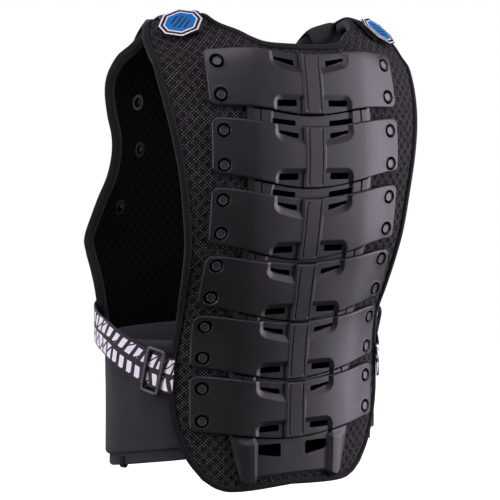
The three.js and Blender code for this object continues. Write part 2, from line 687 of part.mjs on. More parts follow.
const flapInset = BELT_THICK + FIT_GAP;
addPiece('waist_belt', beltGeometry(0, BELT_THICK, BELT_TOP, BELT_BOTTOM), 'belt');
addPiece('belt_flap', beltGeometry(flapInset, FLAP_THICK, FLAP_TOP, FLAP_BOTTOM), 'belt');
const loop = addPiece('belt_loop', loopGeometry(), 'elastic');
const flapLine = beltLine(flapInset);
const loopPlace = flapLine[LOOP.step].clone();
const loopAlong = flapLine[LOOP.step + 1].clone().sub(flapLine[LOOP.step - 1]).normalize();
const up = new THREE.Vector3(0, 0, 1);
const loopIn = new THREE.Vector3().crossVectors(up, loopAlong);
if (loopIn.dot(loopPlace) > 0) loopIn.negate();
loopPlace.addScaledVector(loopIn, -LOOP.thick - 3 * FIT_GAP);
loopPlace.setZ(FLAP_BOTTOM + beltRise(loopPlace.y) - LOOP.thick - 4 * FIT_GAP);
placePiece(loop, loopPlace, loopIn, up, new THREE.Vector3().crossVectors(loopIn, up));

export default vest;
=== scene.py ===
"""Looks of the roost deflector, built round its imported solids.

Every piece is in metres in the frame of the solids: +X to the wearer's left, -Y to the front and +Z up,
with the origin where the shoulders carry the vest. Tables and sizes below are in millimetres.
"""

import logging
import math
from dataclasses import dataclass
from enum import Enum
from typing import Callable, NamedTuple, Sequence, Union

import bpy
import numpy as np
from mathutils import Matrix, Vector


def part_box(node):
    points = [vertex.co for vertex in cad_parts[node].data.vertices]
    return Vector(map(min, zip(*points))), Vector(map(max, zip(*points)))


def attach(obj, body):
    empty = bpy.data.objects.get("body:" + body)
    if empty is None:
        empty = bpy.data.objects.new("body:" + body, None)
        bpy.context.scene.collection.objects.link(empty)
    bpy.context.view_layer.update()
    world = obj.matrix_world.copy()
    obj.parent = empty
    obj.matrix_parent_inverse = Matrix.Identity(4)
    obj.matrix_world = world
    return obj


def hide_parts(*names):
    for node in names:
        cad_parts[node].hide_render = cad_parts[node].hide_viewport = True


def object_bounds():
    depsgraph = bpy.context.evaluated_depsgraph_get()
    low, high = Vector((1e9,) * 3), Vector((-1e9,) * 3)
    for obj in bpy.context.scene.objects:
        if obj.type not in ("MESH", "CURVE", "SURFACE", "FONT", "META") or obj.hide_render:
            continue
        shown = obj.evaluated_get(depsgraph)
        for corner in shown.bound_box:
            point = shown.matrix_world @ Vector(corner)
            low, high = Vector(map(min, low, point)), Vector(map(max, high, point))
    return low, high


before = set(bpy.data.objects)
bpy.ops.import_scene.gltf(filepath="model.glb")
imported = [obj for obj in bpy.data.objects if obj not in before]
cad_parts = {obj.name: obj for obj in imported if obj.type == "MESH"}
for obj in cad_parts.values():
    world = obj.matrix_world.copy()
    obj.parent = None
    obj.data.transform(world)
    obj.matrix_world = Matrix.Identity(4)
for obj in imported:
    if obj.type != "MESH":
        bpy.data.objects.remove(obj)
CAD_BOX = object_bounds()

MM = 0.001
LOG = logging.getLogger("roost_deflector")
CLOTH_UV = "cloth"
Array = np.ndarray
Value = Union["Socket", float, tuple]
Distance = Callable[[Array, Array], Array]
FAR = 60.0
CLOTH_SHARP = 60


class Side(Enum):
    """Side of the wearer, with the sign of its x."""

    LEFT = 1
    RIGHT = -1

    @property
    def label(self) -> str:
        """Name of the side as the nodes use it."""
        return self.name.lower()


class FormRow(NamedTuple):
    """One level of the torso: outer face on the spine, and how far it falls back at the sides."""

    run: float
    y: float
    z: float
    sag: float
    drop: float


class PlateRow(NamedTuple):
    """Heights of one back plate at its edges, rib and rivets, and how sharply its edges dip."""

    top: float
    bottom: float
    rib_top: float
    rib_bottom: float
    rivet_up: float
    rivet_low: float
    bend: float


class StrapRow(NamedTuple):
    """One level of a shoulder tab: where its middle lies and half its width."""

    run: float
    x: float
    half: float


BACK_FORM = tuple(
    FormRow(*row)
    for row in (
        (-510, 72, -510, 36, 0),
        (-440, 73, -440, 34, 0),
        (-410, 73.5, -410, 34.5, 0),
        (-380, 75, -380, 36.5, 0),
        (-350, 78, -350, 38.5, 0),
        (-320, 82.5, -320, 37.5, 0),
        (-290, 89, -290, 28, 0),
        (-260, 95.5, -260, 19.5, 0),
        (-230, 103, -230, 16, 0),
        (-190, 110, -190, 16.5, 0),
        (-145, 113.5, -145, 16.5, 0),
        (-100, 110, -100, 17, 0),
        (-50, 102.5, -50, 24, 0),
        (-28, 94.5, -28, 28.8, 4.7),
        (-5, 72, -7, 25.5, 8.3),
        (18, 54, 9.5, 27, 12.3),
        (37, 40, 10, 34, 12.6),
        (60, 27, 6.5, 43, 13.8),
    )
)
FRONT_FORM = tuple(
    FormRow(*row)
    for row in (
        (-380, -142, -380, 34, 0),
        (-340, -142, -340, 34, 0),
        (-294, -142, -294, 32, 0),
        (-271, -141.5, -271, 27.5, 0),
        (-251, -141, -251, 22, 0),
        (-234, -140.5, -234, 20.5, 0),
        (-215, -140, -215, 25, 0),
        (-192, -139, -192, 32, 0),
        (-169, -138, -169, 41, 0),
        (-143, -136, -143, 46, 0),
        (-121, -133, -121, 44, 0),
        (-101, -129, -101, 37, 0),
        (-71, -120, -71, 29, 0),
        (-45, -104, -45, 27, 0),
        (-15, -72, -21, 22, -7),
        (10, -44, -6, 20, -7),
    )
)


def sample(rows: Sequence[tuple], at: Array, column: int) -> Array:
    """Smooth value of one table column, by cubic pieces through the rows.

    Args:
        rows: Table whose first column rises.
        at: Places along the first column.
        column: Number of the column that is read.

    Returns:
        The values at those places, held constant past the table's ends.
    """
    grid = np.array(rows, float)
    along, level = grid[:, 0], grid[:, column]
    last = len(along) - 1
    place = np.clip(np.asarray(at, float), along[0], along[last])
    k = np.clip(np.searchsorted(along, place, side="left") - 1, 0, last - 1)
    before = np.maximum(np.arange(last + 1) - 1, 0)
    after = np.minimum(np.arange(last + 1) + 1, last)
    tangent = (level[after] - level[before]) / (along[after] - along[before])
    step = along[k + 1] - along[k]
    t = (place - along[k]) / step
    rise = level[k + 1] - level[k]
    bend = (1 - t) * (tangent[k] * step - rise) - t * (tangent[k + 1] * step - rise)
    return level[k] + t * rise + t * (1 - t) * bend


def smoothstep(low: float, high: float, value: Array) -> Array:
    """Smooth ramp from 0 at low to 1 at high."""
    t = np.clip((value - low) / (high - low), 0, 1)
    return t * t * (3 - 2 * t)


def unit(vectors: Array) -> Array:
    """Vectors of length one along the last axis."""
    return vectors / np.maximum(np.linalg.norm(vectors, axis=-1, keepdims=True), 1e-9)


def spline(
    knots: Sequence[tuple], closed: bool = False, centripetal: bool = False, fine: int = 40
) -> Array:
    """Smooth curve through knots.

    Args:
        knots: Points that the curve passes through.
        closed: Whether it returns to its first point.
        centripetal: Whether knots are spaced by the root of their distance, which avoids loops.
        fine: Steps between two knots.

    Returns:
        Points along the curve, with the last one equal to the first where it is closed.
    """
    points = np.array(knots, float)
    if closed:
        points = np.vstack([points[-1], points, points[0], points[1]])
    else:
        points = np.vstack([2 * points[0] - points[1], points, 2 * points[-1] - points[-2]])
    gaps = np.linalg.norm(np.diff(points, axis=0), axis=1)
    steps = np.sqrt(gaps) if centripetal else np.ones(len(gaps))
    t = np.linspace(0, 1, fine, endpoint=False)[:, None]
    pieces = []
    for k in range(1, len(points) - 2):
        a, b, c, d = points[k - 1 : k + 3]
        da, db, dc = steps[k - 1 : k + 2]
        leave = ((b - a) / da - (c - a) / (da + db) + (c - b) / db) * db
        arrive = ((c - b) / db - (d - b) / (db + dc) + (d - c) / dc) * db
        curve = (2 * t**3 - 3 * t**2 + 1) * b + (t**3 - 2 * t**2 + t) * leave
        pieces.append(curve + (3 * t**2 - 2 * t**3) * c + (t**3 - t**2) * arrive)
    return np.vstack([*pieces, points[-2]])


def lengths(line: Array) -> Array:
    """Distance of each point along a polyline from its start."""
    return np.concatenate([[0], np.cumsum(np.linalg.norm(np.diff(line, axis=0), axis=1))])


def way_round(loop: Array) -> Array:
    """Distance of each point round a closed line, and the whole way round last."""
    return lengths(np.vstack([loop, loop[:1]]))


def evenly(line: Array, count: int) -> Array:
    """Points at even distances along a polyline, both ends among them."""
    reach = lengths(line)
    places = np.linspace(0, reach[-1], count)
    return np.stack([np.interp(places, reach, line[:, k]) for k in range(line.shape[1])], axis=1)


def rounded_box(x: Array, y: Array, low: tuple, high: tuple, radius: float) -> Array:
    """Distance to a rectangle with round corners, negative inside it.

    Args:
        x: First coordinate of the places.
        y: Second coordinate of the places.
        low: Lowest corner of the rectangle.
        high: Highest corner of the rectangle.
        radius: Radius of its corners.

    Returns:
        Signed distances.
    """
    qx = np.abs(x - (low[0] + high[0]) / 2) - (high[0] - low[0]) / 2 + radius
    qy = np.abs(y - (low[1] + high[1]) / 2) - (high[1] - low[1]) / 2 + radius
    outside = np.hypot(np.maximum(qx, 0), np.maximum(qy, 0))
    return outside + np.minimum(np.maximum(qx, qy), 0) - radius


@dataclass(frozen=True)
class TorsoForm:
    """One side of the torso as a surface over the distance from the spine and the run."""

    rows: tuple
    facing: int
    reach: float = 130
    sag_power: float = 2.6
    drop_power: float = 2

    def point(self, x: Array, run: Array) -> Array:
        """Places on the panel's outer face."""
        share = np.abs(x) / self.reach
        sag = sample(self.rows, run, 3) * share**self.sag_power
        drop = sample(self.rows, run, 4) * share**self.drop_power
        y = sample(self.rows, run, 1) - self.facing * sag
        return np.stack([x, y, sample(self.rows, run, 2) - drop], axis=-1)

    def normal(self, x: Array, run: Array) -> Array:
        """Outward directions of the panel's outer face."""
        across = self.point(x + 1, run) - self.point(x - 1, run)
        along = self.point(x, run + 1) - self.point(x, run - 1)
        return unit(np.cross(across, along) * -self.facing)

    def lifted(self, x: Array, run: Array, lift: Array) -> Array:
        """Places at a height over the panel's outer face."""
        x, run, lift = np.broadcast_arrays(np.asarray(x, float), run, lift)
        return self.point(x, run) + self.normal(x, run) * lift[..., None]


BACK = TorsoForm(BACK_FORM, 1)
FRONT = TorsoForm(FRONT_FORM, -1)


class Socket:
    """Output of a shader node; arithmetic on it adds Math nodes."""

    def __init__(self, tree: "ShaderTree", output: bpy.types.NodeSocket) -> None:
        """Wraps one output of a node in a tree."""
        self.tree = tree
        self.output = output

    def maths(self, operation: str, *values: Value) -> "Socket":
        """Adds one Math node with these values."""
        return self.tree.node("ShaderNodeMath", {"operation": operation}, dict(enumerate(values)))

    def __add__(self, other: Value) -> "Socket":
        """Sum of two values."""
        return self.maths("ADD", self, other)

    __radd__ = __add__

    def __sub__(self, other: Value) -> "Socket":
        """This value less another."""
        return self.maths("SUBTRACT", self, other)

    def __rsub__(self, other: Value) -> "Socket":
        """Another value less this one."""
        return self.maths("SUBTRACT", other, self)

    def __mul__(self, other: Value) -> "Socket":
        """Product of two values."""
        return self.maths("MULTIPLY", self, other)

    __rmul__ = __mul__

    def __truediv__(self, other: Value) -> "Socket":
        """This value over another."""
        return self.maths("DIVIDE", self, other)

    def __gt__(self, other: Value) -> "Socket":
        """1 where this value is the larger one."""
        return self.maths("GREATER_THAN", self, other)

    def __lt__(self, other: Value) -> "Socket":
        """1 where this value is the smaller one."""
        return self.maths("LESS_THAN", self, other)

    def sine(self) -> "Socket":
        """Sine of this value."""
        return self.maths("SINE", self)

    def wrapped(self) -> "Socket":
        """This value's part after the point."""
        return self.maths("FRACT", self)

    def whole(self) -> "Socket":
        """This value rounded down."""
        return self.maths("FLOOR", self)

    def size(self) -> "Socket":
        """This value without its sign."""
        return self.maths("ABSOLUTE", self)

    def most(self, other: Value) -> "Socket":
        """The larger of two values."""
        return self.maths("MAXIMUM", self, other)

    def ramp(self, low: float, high: float) -> "Socket":
        """Smooth step from 0 at low to 1 at high."""
        settings = {"interpolation_type": "SMOOTHSTEP"}
        return self.tree.node("ShaderNodeMapRange", settings, {0: self, 1: low, 2: high})


class ShaderTree:
    """Node tree of one material."""

    def __init__(self, name: str) -> None:
        """Makes an empty material of that name."""
        self.material = bpy.data.materials.new(name)
        self.material.use_nodes = True
        self.tree = self.material.node_tree
        self.tree.nodes.clear()

    def node(self, kind: str, settings: dict, inputs: dict, output: Union[int, str] = 0) -> Socket:
        """Adds a node.

        Args:
            kind: Blender's type name of the node.
            settings: Its properties, set before its sockets.
            inputs: Values or linked sockets by the name or number of the input.
            output: Name or number of the output that is given back.

        Returns:
            That output, wrapped.
        """
        made = self.tree.nodes.new(kind)
        for name, value in settings.items():
            setattr(made, name, value)
        for name, value in inputs.items():
            if isinstance(value, Socket):
                self.tree.links.new(value.output, made.inputs[name])
            else:
                made.inputs[name].default_value = value
        return Socket(self, made.outputs[output])

    def place(self) -> Socket:
        """Places in the frame of the vest, in metres."""
        return self.node("ShaderNodeTexCoord", {}, {}, "Object")

    def cloth(self) -> tuple[Socket, Socket]:
        """Distances along and across the cloth, in millimetres."""
        both = self.node("ShaderNodeUVMap", {"uv_map": CLOTH_UV}, {})
        split = self.node("ShaderNodeSeparateXYZ", {}, {0: both}, 0)
        return split, Socket(self, split.output.node.outputs[1])

    def noise(self, place: Socket, scale: float, detail: float = 3, rough: float = 0.5) -> Socket:
        """Soft noise from 0 to 1."""
        inputs = {"Vector": place, "Scale": scale, "Detail": detail, "Roughness": rough}
        return self.node("ShaderNodeTexNoise", {}, inputs)

    def blend(self, factor: Value, low: Value, high: Value) -> Socket:
        """Mixes two colours."""
        return self.node("ShaderNodeMix", {"data_type": "RGBA"}, {0: factor, 6: low, 7: high}, 2)

    def bump(self, height: Socket, depth: float, strength: float = 1) -> Socket:
        """Normal that follows a height; depth is in metres."""
        inputs = {"Strength": strength, "Distance": depth, "Height": height}
        return self.node("ShaderNodeBump", {}, inputs)

    def close(self, varying: dict, constants: dict) -> bpy.types.Material:
        """Ends the tree with a Principled shader.

        Args:
            varying: Linked inputs that change over the surface.
            constants: Inputs that are the same all over.

        Returns:
            The finished material.
        """
        shader = self.node("ShaderNodeBsdfPrincipled", {}, {**constants, **varying})
        end = self.tree.nodes.new("ShaderNodeOutputMaterial")
        self.tree.links.new(shader.output, end.inputs["Surface"])
        return self.material


def grey(level: float, warm: float = 0.0) -> tuple:
    """Opaque near-grey colour; warm above 0 adds red and below 0 adds blue."""
    return (level * (1 + warm), level, level * (1 - warm), 1)


def shades(colour: tuple, dark: float, light: float) -> tuple[tuple, tuple]:
    """A darker and a lighter shade of a colour, by the given shares of it."""
    return tuple(tuple(share * c for c in colour[:3]) + (1,) for share in (dark, light))


@dataclass(frozen=True)
class MouldedPlastic:
    """Satin injection-moulded plastic with a fine grain."""

    name: str
    colour: tuple
    roughness: float = 0.42
    grain: float = 0.00006
    gloss: float = 0.5
    grain_scale: float = 1400
    cloud_scale: float = 14
    cloud_rough: float = 0.12
    grain_rough: float = 0.08

    def make(self) -> bpy.types.Material:
        """Builds the material."""
        tree = ShaderTree(self.name)
        place = tree.place()
        grain = tree.noise(place, self.grain_scale, 2)
        cloud = tree.noise(place, self.cloud_scale, 4, 0.6)
        colour = tree.blend(cloud.ramp(0.3, 0.7), *shades(self.colour, 0.82, 1.2))
        mean = (self.cloud_rough + self.grain_rough) / 2
        rough = cloud * self.cloud_rough + grain * self.grain_rough + (self.roughness - mean)
        normal = tree.bump(grain, self.grain)
        varying = {"Base Color": colour, "Roughness": rough, "Normal": normal}
        return tree.close(varying, {"IOR": 1.5, "Specular IOR Level": self.gloss})


@dataclass(frozen=True)
class SpacerMesh:
    """Black spacer mesh: fine knots on the diagonal round larger soft dimples, the knots lit by painted
    highlights and the dimples darkened by painted shade.
    """

    name: str
    knot_pitch: float = 2.6
    dimple_pitch: float = 11.5
    gloss: float = 0.25
    ground: tuple = grey(0.0025, 0.04)
    thread: tuple = grey(0.01, 0.05)
    # Base colour of the painted highlights on the knots.
    glint: tuple = grey(0.15, 0.04)
    sway_scale: float = 240
    sway: float = 0.4
    dimple_squash: float = 0.9
    hollow_from: float = 0.64
    hollow_full: float = 0.9
    hollow_dark: float = 0.93
    relief: float = 0.0012

    def make(self) -> bpy.types.Material:
        """Builds the material."""
        tree = ShaderTree(self.name)
        u, v = tree.cloth()
        sway = tree.noise(tree.place(), self.sway_scale, 2) * self.sway
        fine = math.pi * math.sqrt(2) / self.knot_pitch
        knots = ((u + sway) * fine).sine() * ((v + sway) * fine).sine()
        large = math.pi / self.dimple_pitch
        quarter = math.pi / 2
        across, down = u * large, v * large * self.dimple_squash
        dimple = (across.sine() * down.sine()).size()
        dimple = dimple.most(((across + quarter).sine() * (down + quarter).sine()).size())
        # Dimple mask: it sinks the dimples in the bump and darkens them as painted shade.
        hollow = dimple.ramp(self.hollow_from, self.hollow_full) * self.hollow_dark
        chance = tree.noise(tree.place(), 420, 2, 0.7).ramp(0.4, 0.62)
        # Painted highlights on the knots, lightened into the base colour.
        lit = knots.ramp(0.25, 0.8) * (1 - hollow)
        cloth = tree.blend(knots.ramp(-0.5, 0.4) * (1 - hollow * 0.7), self.ground, self.thread)
        colour = tree.blend(lit * (chance * 0.75 + 0.25), cloth, self.glint)
        rough = 0.9 - lit * 0.3
        normal = tree.bump(knots * 0.25 - hollow, self.relief)
        varying = {"Base Color": colour, "Roughness": rough, "Normal": normal}
        return tree.close(varying, {"Specular IOR Level": self.gloss})


@dataclass(frozen=True)
class KnitCloth:
    """Close knit or webbing with fine ribs along one direction."""

    name: str
    colour: tuple
    pitch: float = 1.1
    sheen: float = 0.15
    depth: float = 0.00015
    gloss: float = 0.35
    fuzz_scale: float = 700
    cloud_scale: float = 20

    def make(self) -> bpy.types.Material:
        """Builds the material."""
        tree = ShaderTree(self.name)
        u, v = tree.cloth()
        turn = 2 * math.pi / self.pitch
        knit = ((u * turn).sine() * (v * turn * 0.6).sine()) * 0.5 + 0.5
        fuzz = tree.noise(tree.place(), self.fuzz_scale, 3, 0.7)
        cloud = tree.noise(tree.place(), self.cloud_scale, 3)
        mottle = (cloud * 0.6 + knit * 0.25 + fuzz * 0.3).ramp(0.2, 0.9)
        colour = tree.blend(mottle, *shades(self.colour, 0.7, 1.3))
        rough = 0.78 + fuzz * 0.15
        normal = tree.bump(knit + fuzz * 0.8, self.depth)
        varying = {"Base Color": colour, "Roughness": rough, "Normal": normal}
        fixed = {"Sheen Weight": self.sheen, "Sheen Roughness": 0.45, "Specular IOR Level": self.gloss}
        return tree.close(varying, fixed)


@dataclass(frozen=True)
class PrintedElastic:
    """Black elastic with a white print of slanted bars in two staggered rows."""

    name: str
    bar: float = 11
    row: float = 19
    slant: float = 0.5
    stagger: float = 0.37
    half_wide: float = 0.26
    wide_spread: float = 0.16
    half_high: float = 0.3
    high_spread: float = 0.14
    cut_half: float = 0.07
    scatter: tuple = (12.99, 78.2, 437.5)
    weave: tuple = (5.2, 4.1)

    def make(self) -> bpy.types.Material:
        """Builds the material."""
        tree = ShaderTree(self.name)
        u, v = tree.cloth()
        lane = (v / self.row + 100).whole()
        across = (v / self.row + 100).wrapped()
        lean = (across - 0.5) * self.slant * (1 - 2 * (lane / 2).wrapped() * 2)
        along = u / self.bar + lean + lane * self.stagger + 50
        cell = along.whole()
        by_cell, by_lane, spread = self.scatter
        chance = ((cell * by_cell + lane * by_lane).sine() * spread).wrapped()
        inside = along.wrapped()
        edge = (inside - 0.5).size()
        bar = edge < (self.half_wide + chance * self.wide_spread)
        height = (across - 0.5).size() < (self.half_high + chance * self.high_spread)
        cut = ((across + inside * 0.6 + chance).wrapped() - 0.5).size() > self.cut_half
        print_mask = bar * height * cut
        weave = ((u * self.weave[0]).sine() * (v * self.weave[1]).sine()) * 0.5 + 0.5
        fuzz = tree.noise(tree.place(), 900, 2, 0.6)
        black = tree.blend(fuzz, grey(0.008), grey(0.03))
        white = tree.blend(fuzz * 0.6 + weave * 0.3, grey(0.78), grey(0.97))
        colour = tree.blend(print_mask, black, white)
        normal = tree.bump(weave + fuzz * 0.4, 0.0002)
        varying = {"Base Color": colour, "Roughness": 0.72 + fuzz * 0.2, "Normal": normal}
        return tree.close(varying, {"Sheen Weight": 0.1})


class Finishes:
    """Materials of the vest, each made once."""

    def __init__(self) -> None:
        """Makes every material."""
        self.plate = MouldedPlastic("plate_plastic", grey(0.010, 0.02), 0.46).make()
        self.core = MouldedPlastic("core_plastic", grey(0.012, 0.02), 0.46).make()
        self.rivet = MouldedPlastic("rivet_plastic", grey(0.028), 0.36).make()
        self.slider = MouldedPlastic("slider_plastic", grey(0.011), 0.36, 0.0002).make()
        # Near-black copy of the rivet plastic for the caps inside the front panel: painted shade of the
        # vest's inside.
        self.cap = MouldedPlastic("cap_plastic", grey(0.0012), 0.3, 0.0, 0.045).make()
        self.mesh = SpacerMesh("spacer_mesh").make()
        # Darker, duller copy of the spacer mesh for the panels' inner faces: painted shade of the vest's
        # inside, with its knot highlights dimmed.
        painted_inside_shade = {"gloss": 0.03, "ground": grey(0.0008), "thread": grey(0.0016), "glint": grey(0.006)}
        self.lining = SpacerMesh("lining_mesh", **painted_inside_shade).make()
        self.binding = KnitCloth("edge_binding", grey(0.007, 0.05), 1.1, 0.05, 0.00015, 0.2).make()
        self.belt = KnitCloth("belt_neoprene", grey(0.025, -0.02), 1.4, 0.06).make()
        self.tab = KnitCloth("tab_webbing", grey(0.006), 1.6, 0.06, 0.0003).make()
        self.thread = KnitCloth("sewing_thread", grey(0.02), 0.8, 0.05).make()
        self.print = PrintedElastic("printed_elastic").make()
        self.blue = MouldedPlastic("badge_blue", (0.004, 0.15, 0.42, 1), 0.4, 0.0, 0.3).make()
        self.white = MouldedPlastic("badge_white", grey(0.75), 0.4).make()
        # Matte black for the slots, holes and rivet-seat floors: painted shade where the recesses fall
        # dark.
        self.hollow = MouldedPlastic("slot_black", grey(0.0006), 0.9, 0.0, 0.0).make()
        self.black = MouldedPlastic("badge_black", grey(0.008), 0.4).make()


def make_mesh(
    name: str,
    points: Array,
    quads: Array,
    materials: Sequence[bpy.types.Material],
    uv: Array = None,
    sharp: float = 40,
    kinds: Array = None,
) -> bpy.types.Object:
    """Makes a mesh object from quads, dropping points that no face uses.

    Args:
        name: Name of the piece.
        points: Places in millimetres.
        quads: Four point numbers a face.
        materials: Materials of the piece.
        uv: Place on the cloth of each face corner in millimetres, or None.
        sharp: Angle in degrees over which an edge stays sharp.
        kinds: Material number of each face, or None.

    Returns:
        The new object, linked to the scene.
    """
    used, corners = np.unique(np.asarray(quads).ravel(), return_inverse=True)
    points = np.asarray(points, float)[used]
    corners = corners.reshape(-1, 4)
    a, b, c, d = (points[corners[:, k]] for k in range(4))
    volume = np.einsum("ij,ij->i", a, np.cross(b, c) + np.cross(c, d)).sum()
    if volume < 0:
        corners = corners[:, ::-1]
        uv = uv[:, ::-1] if uv is not None else None
    mesh = bpy.data.meshes.new(name)
    mesh.vertices.add(len(points))
    mesh.vertices.foreach_set("co", (points * MM).astype(np.float32).ravel())
    mesh.loops.add(corners.size)
    mesh.loops.foreach_set("vertex_index", corners.astype(np.int32).ravel())
    mesh.polygons.add(len(corners))
    mesh.polygons.foreach_set("loop_start", np.arange(0, corners.size, 4, dtype=np.int32))
    for material in materials:
        mesh.materials.append(material)
    if kinds is not None:
        mesh.polygons.foreach_set("material_index", np.asarray(kinds, np.int32))
    mesh.update(calc_edges=True)
    if uv is not None:
        layer = mesh.uv_layers.new(name=CLOTH_UV)
        layer.data.foreach_set("uv", uv.astype(np.float32).ravel())
    mesh.polygons.foreach_set("use_smooth", np.ones(len(corners), bool))
    mesh.set_sharp_from_angle(angle=math.radians(sharp))
    mesh.validate()
    piece = bpy.data.objects.new(name, mesh)
    bpy.context.scene.collection.objects.link(piece)
    return piece


def settle(piece: bpy.types.Object, slot: str, *nodes: str) -> bpy.types.Object:
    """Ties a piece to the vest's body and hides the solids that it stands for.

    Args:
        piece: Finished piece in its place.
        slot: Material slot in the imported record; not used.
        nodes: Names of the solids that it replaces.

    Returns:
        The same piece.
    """
    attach(piece, "root")
    if nodes:
        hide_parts(*nodes)
    LOG.info("%s: %d faces, for %s", piece.name, len(piece.data.polygons), ", ".join(nodes) or "no solid")
    return piece


class Sheet:
    """Closed sheet over a grid of points that each have an outer and an inner place."""

    def __init__(self, outer: Array, inner: Array, cloth: Array, solid: Array = None) -> None:
        """Keeps the grid.

        Args:
            outer: Outer places, columns by rows by 3.
            inner: Inner places, in the same order.
            cloth: Places on the cloth, columns by rows by 2.
            solid: Which cells exist, or None for all of them.
        """
        self.outer = outer
        self.inner = inner
        self.cloth = cloth
        columns, rows = outer.shape[0] - 1, outer.shape[1] - 1
        self.solid = np.ones((columns, rows), bool) if solid is None else solid

    def number(self, i: Array, j: Array, side: int) -> Array:
        """Point numbers on one side of the sheet."""
        return (i * self.outer.shape[1] + j) * 2 + side

    def quads(self) -> Array:
        """Faces of both sides and of the walls between them."""
        solid = self.solid
        i, j = np.nonzero(solid)
        top = [self.number(a, b, 0) for a, b in ((i, j), (i + 1, j), (i + 1, j + 1), (i, j + 1))]
        low = [self.number(a, b, 1) for a, b in ((i, j), (i, j + 1), (i + 1, j + 1), (i + 1, j))]
        faces = [np.stack(top, 1), np.stack(low, 1)]
        rim = np.pad(solid, 1)
        walls = (
            (~rim[:-2, 1:-1] & solid, (0, 0), (0, 1)),
            (~rim[2:, 1:-1] & solid, (1, 1), (1, 0)),
            (~rim[1:-1, :-2] & solid, (1, 0), (0, 0)),
            (~rim[1:-1, 2:] & solid, (0, 1), (1, 1)),
        )
        for mask, start, end in walls:
            i, j = np.nonzero(mask)
            first = (i + start[0], j + start[1])
            second = (i + end[0], j + end[1])
            corners = [self.number(*first, 0), self.number(*second, 0)]
            corners += [self.number(*second, 1), self.number(*first, 1)]
            faces.append(np.stack(corners, 1))
        return np.vstack(faces)

    def build(
        self,
        name: str,
        materials: Sequence[bpy.types.Material],
        sharp: float = 40,
        kinds: Array = None,
        lining: int = 0,
    ) -> bpy.types.Object:
        """Makes the piece.

        Args:
            name: Name of the piece.
            materials: Materials of the piece.
            sharp: Angle in degrees over which an edge stays sharp.
            kinds: Material number of each outer cell, or None.
            lining: Material number of the inner side.

        Returns:
            The new object.
        """
        points = np.stack([self.outer, self.inner], axis=2).reshape(-1, 3)
        cloth = np.repeat(self.cloth.reshape(-1, 2), 2, axis=0)
        quads = self.quads()
        cells = self.solid.sum()
        marks = np.zeros(len(quads), int)
        if kinds is not None:
            marks[:cells] = kinds[self.solid]
        marks[cells : 2 * cells] = lining
        return make_mesh(name, points, quads, materials, cloth[quads], sharp, marks)


def ring_piece(
    name: str,
    sections: Array,
    materials: Sequence[bpy.types.Material],
    along: Array,
    across: Array,
    sharp: float = 50,
) -> bpy.types.Object:
    """Closed ring through sections that are closed themselves.

    Args:
        name: Name of the piece.
        sections: Places, sections by points by 3.
        materials: Materials of the piece.
        along: Distance of each section along the ring, and its whole length last.
        across: Distance of each point round its section, and the whole way round last.
        sharp: Angle in degrees over which an edge stays sharp.

    Returns:
        The new object.
    """
    count, sides = sections.shape[:2]
    i, k = np.indices((count, sides)).reshape(2, -1)
    steps = ((0, 0), (1, 0), (1, 1), (0, 1))
    quads = np.stack([((i + a) % count) * sides + (k + b) % sides for a, b in steps], 1)
    cloth = np.stack([np.stack([along[i + a], across[k + b]], 1) for a, b in steps], 1)
    return make_mesh(name, sections.reshape(-1, 3), quads, materials, cloth, sharp)


def rounded_loop(half_long: float, half_high: float, power: float, count: int) -> Array:
    """Points round a rectangle with rounded corners, sharper with a higher power."""
    turn = np.linspace(0, 2 * math.pi, count, endpoint=False)
    sides = np.stack([np.cos(turn), np.sin(turn)], 1)
    return np.sign(sides) * np.abs(sides) ** (2 / power) * np.array([half_long, half_high])


class Stitching:
    """Rows of short raised stitches."""

    LONG = 2.7
    PITCH = 3.9
    THICK = 0.42
    SIDES = 6
    RISE = 0.12
    SPREAD = 1.15
    BEADS = ((-0.5, 0.25), (-0.24, 0.95), (0.24, 0.95), (0.5, 0.25))

    def __init__(self) -> None:
        """Starts with no stitches."""
        self.points: list[Array] = []
        self.quads: list[Array] = []
        self.count = 0

    def add_row(self, line: Array, outward: Array) -> None:
        """Adds stitches along a line.

        Args:
            line: Places of the sewn line.
            outward: Outward directions of the cloth at those places.
        """
        reach = lengths(line)
        middle = np.arange(self.PITCH / 2, reach[-1] - self.PITCH / 2, self.PITCH)
        at = np.stack([np.interp(middle, reach, line[:, k]) for k in range(3)], 1)
        ahead = np.stack([np.interp(middle + 1, reach, line[:, k]) for k in range(3)], 1)
        out = unit(np.stack([np.interp(middle, reach, outward[:, k]) for k in range(3)], 1))
        along = unit(ahead - at)
        beside = np.cross(along, out)
        turn = np.arange(self.SIDES) * 2 * math.pi / self.SIDES
        rings = []
        for place, swell in self.BEADS:
            centre = at + along * place * self.LONG + out * (self.RISE * swell)
            spoke = np.cos(turn)[:, None] * beside[:, None] * self.SPREAD
            spoke = spoke + np.sin(turn)[:, None] * out[:, None]
            rings.append(centre[:, None] + spoke * self.THICK * swell)
        block = np.stack(rings, 1)
        stitches, beads = block.shape[:2]
        s, r, k = np.indices((stitches, beads - 1, self.SIDES))
        base = self.count + (s * beads + r) * self.SIDES
        turned = (k + 1) % self.SIDES
        faces = np.stack([base + k, base + turned, base + self.SIDES + turned, base + self.SIDES + k], -1)
        self.quads.append(faces.reshape(-1, 4))
        for end, order in ((0, (0, 3, 2, 1)), (beads - 1, (0, 1, 2, 3))):
            rim = self.count + (np.arange(stitches)[:, None] * beads + end) * self.SIDES
            first = rim + np.array([0, 1, 2, 3])[list(order)]
            second = rim + np.array([0, 3, 4, 5])[list(order)]
            self.quads += [first, second]
        self.points.append(block.reshape(-1, 3))
        self.count += stitches * beads * self.SIDES

    def build(self, name: str, material: bpy.types.Material) -> bpy.types.Object:
        """Makes one piece of all rows."""
        return make_mesh(name, np.vstack(self.points), np.vstack(self.quads), [material], sharp=80)


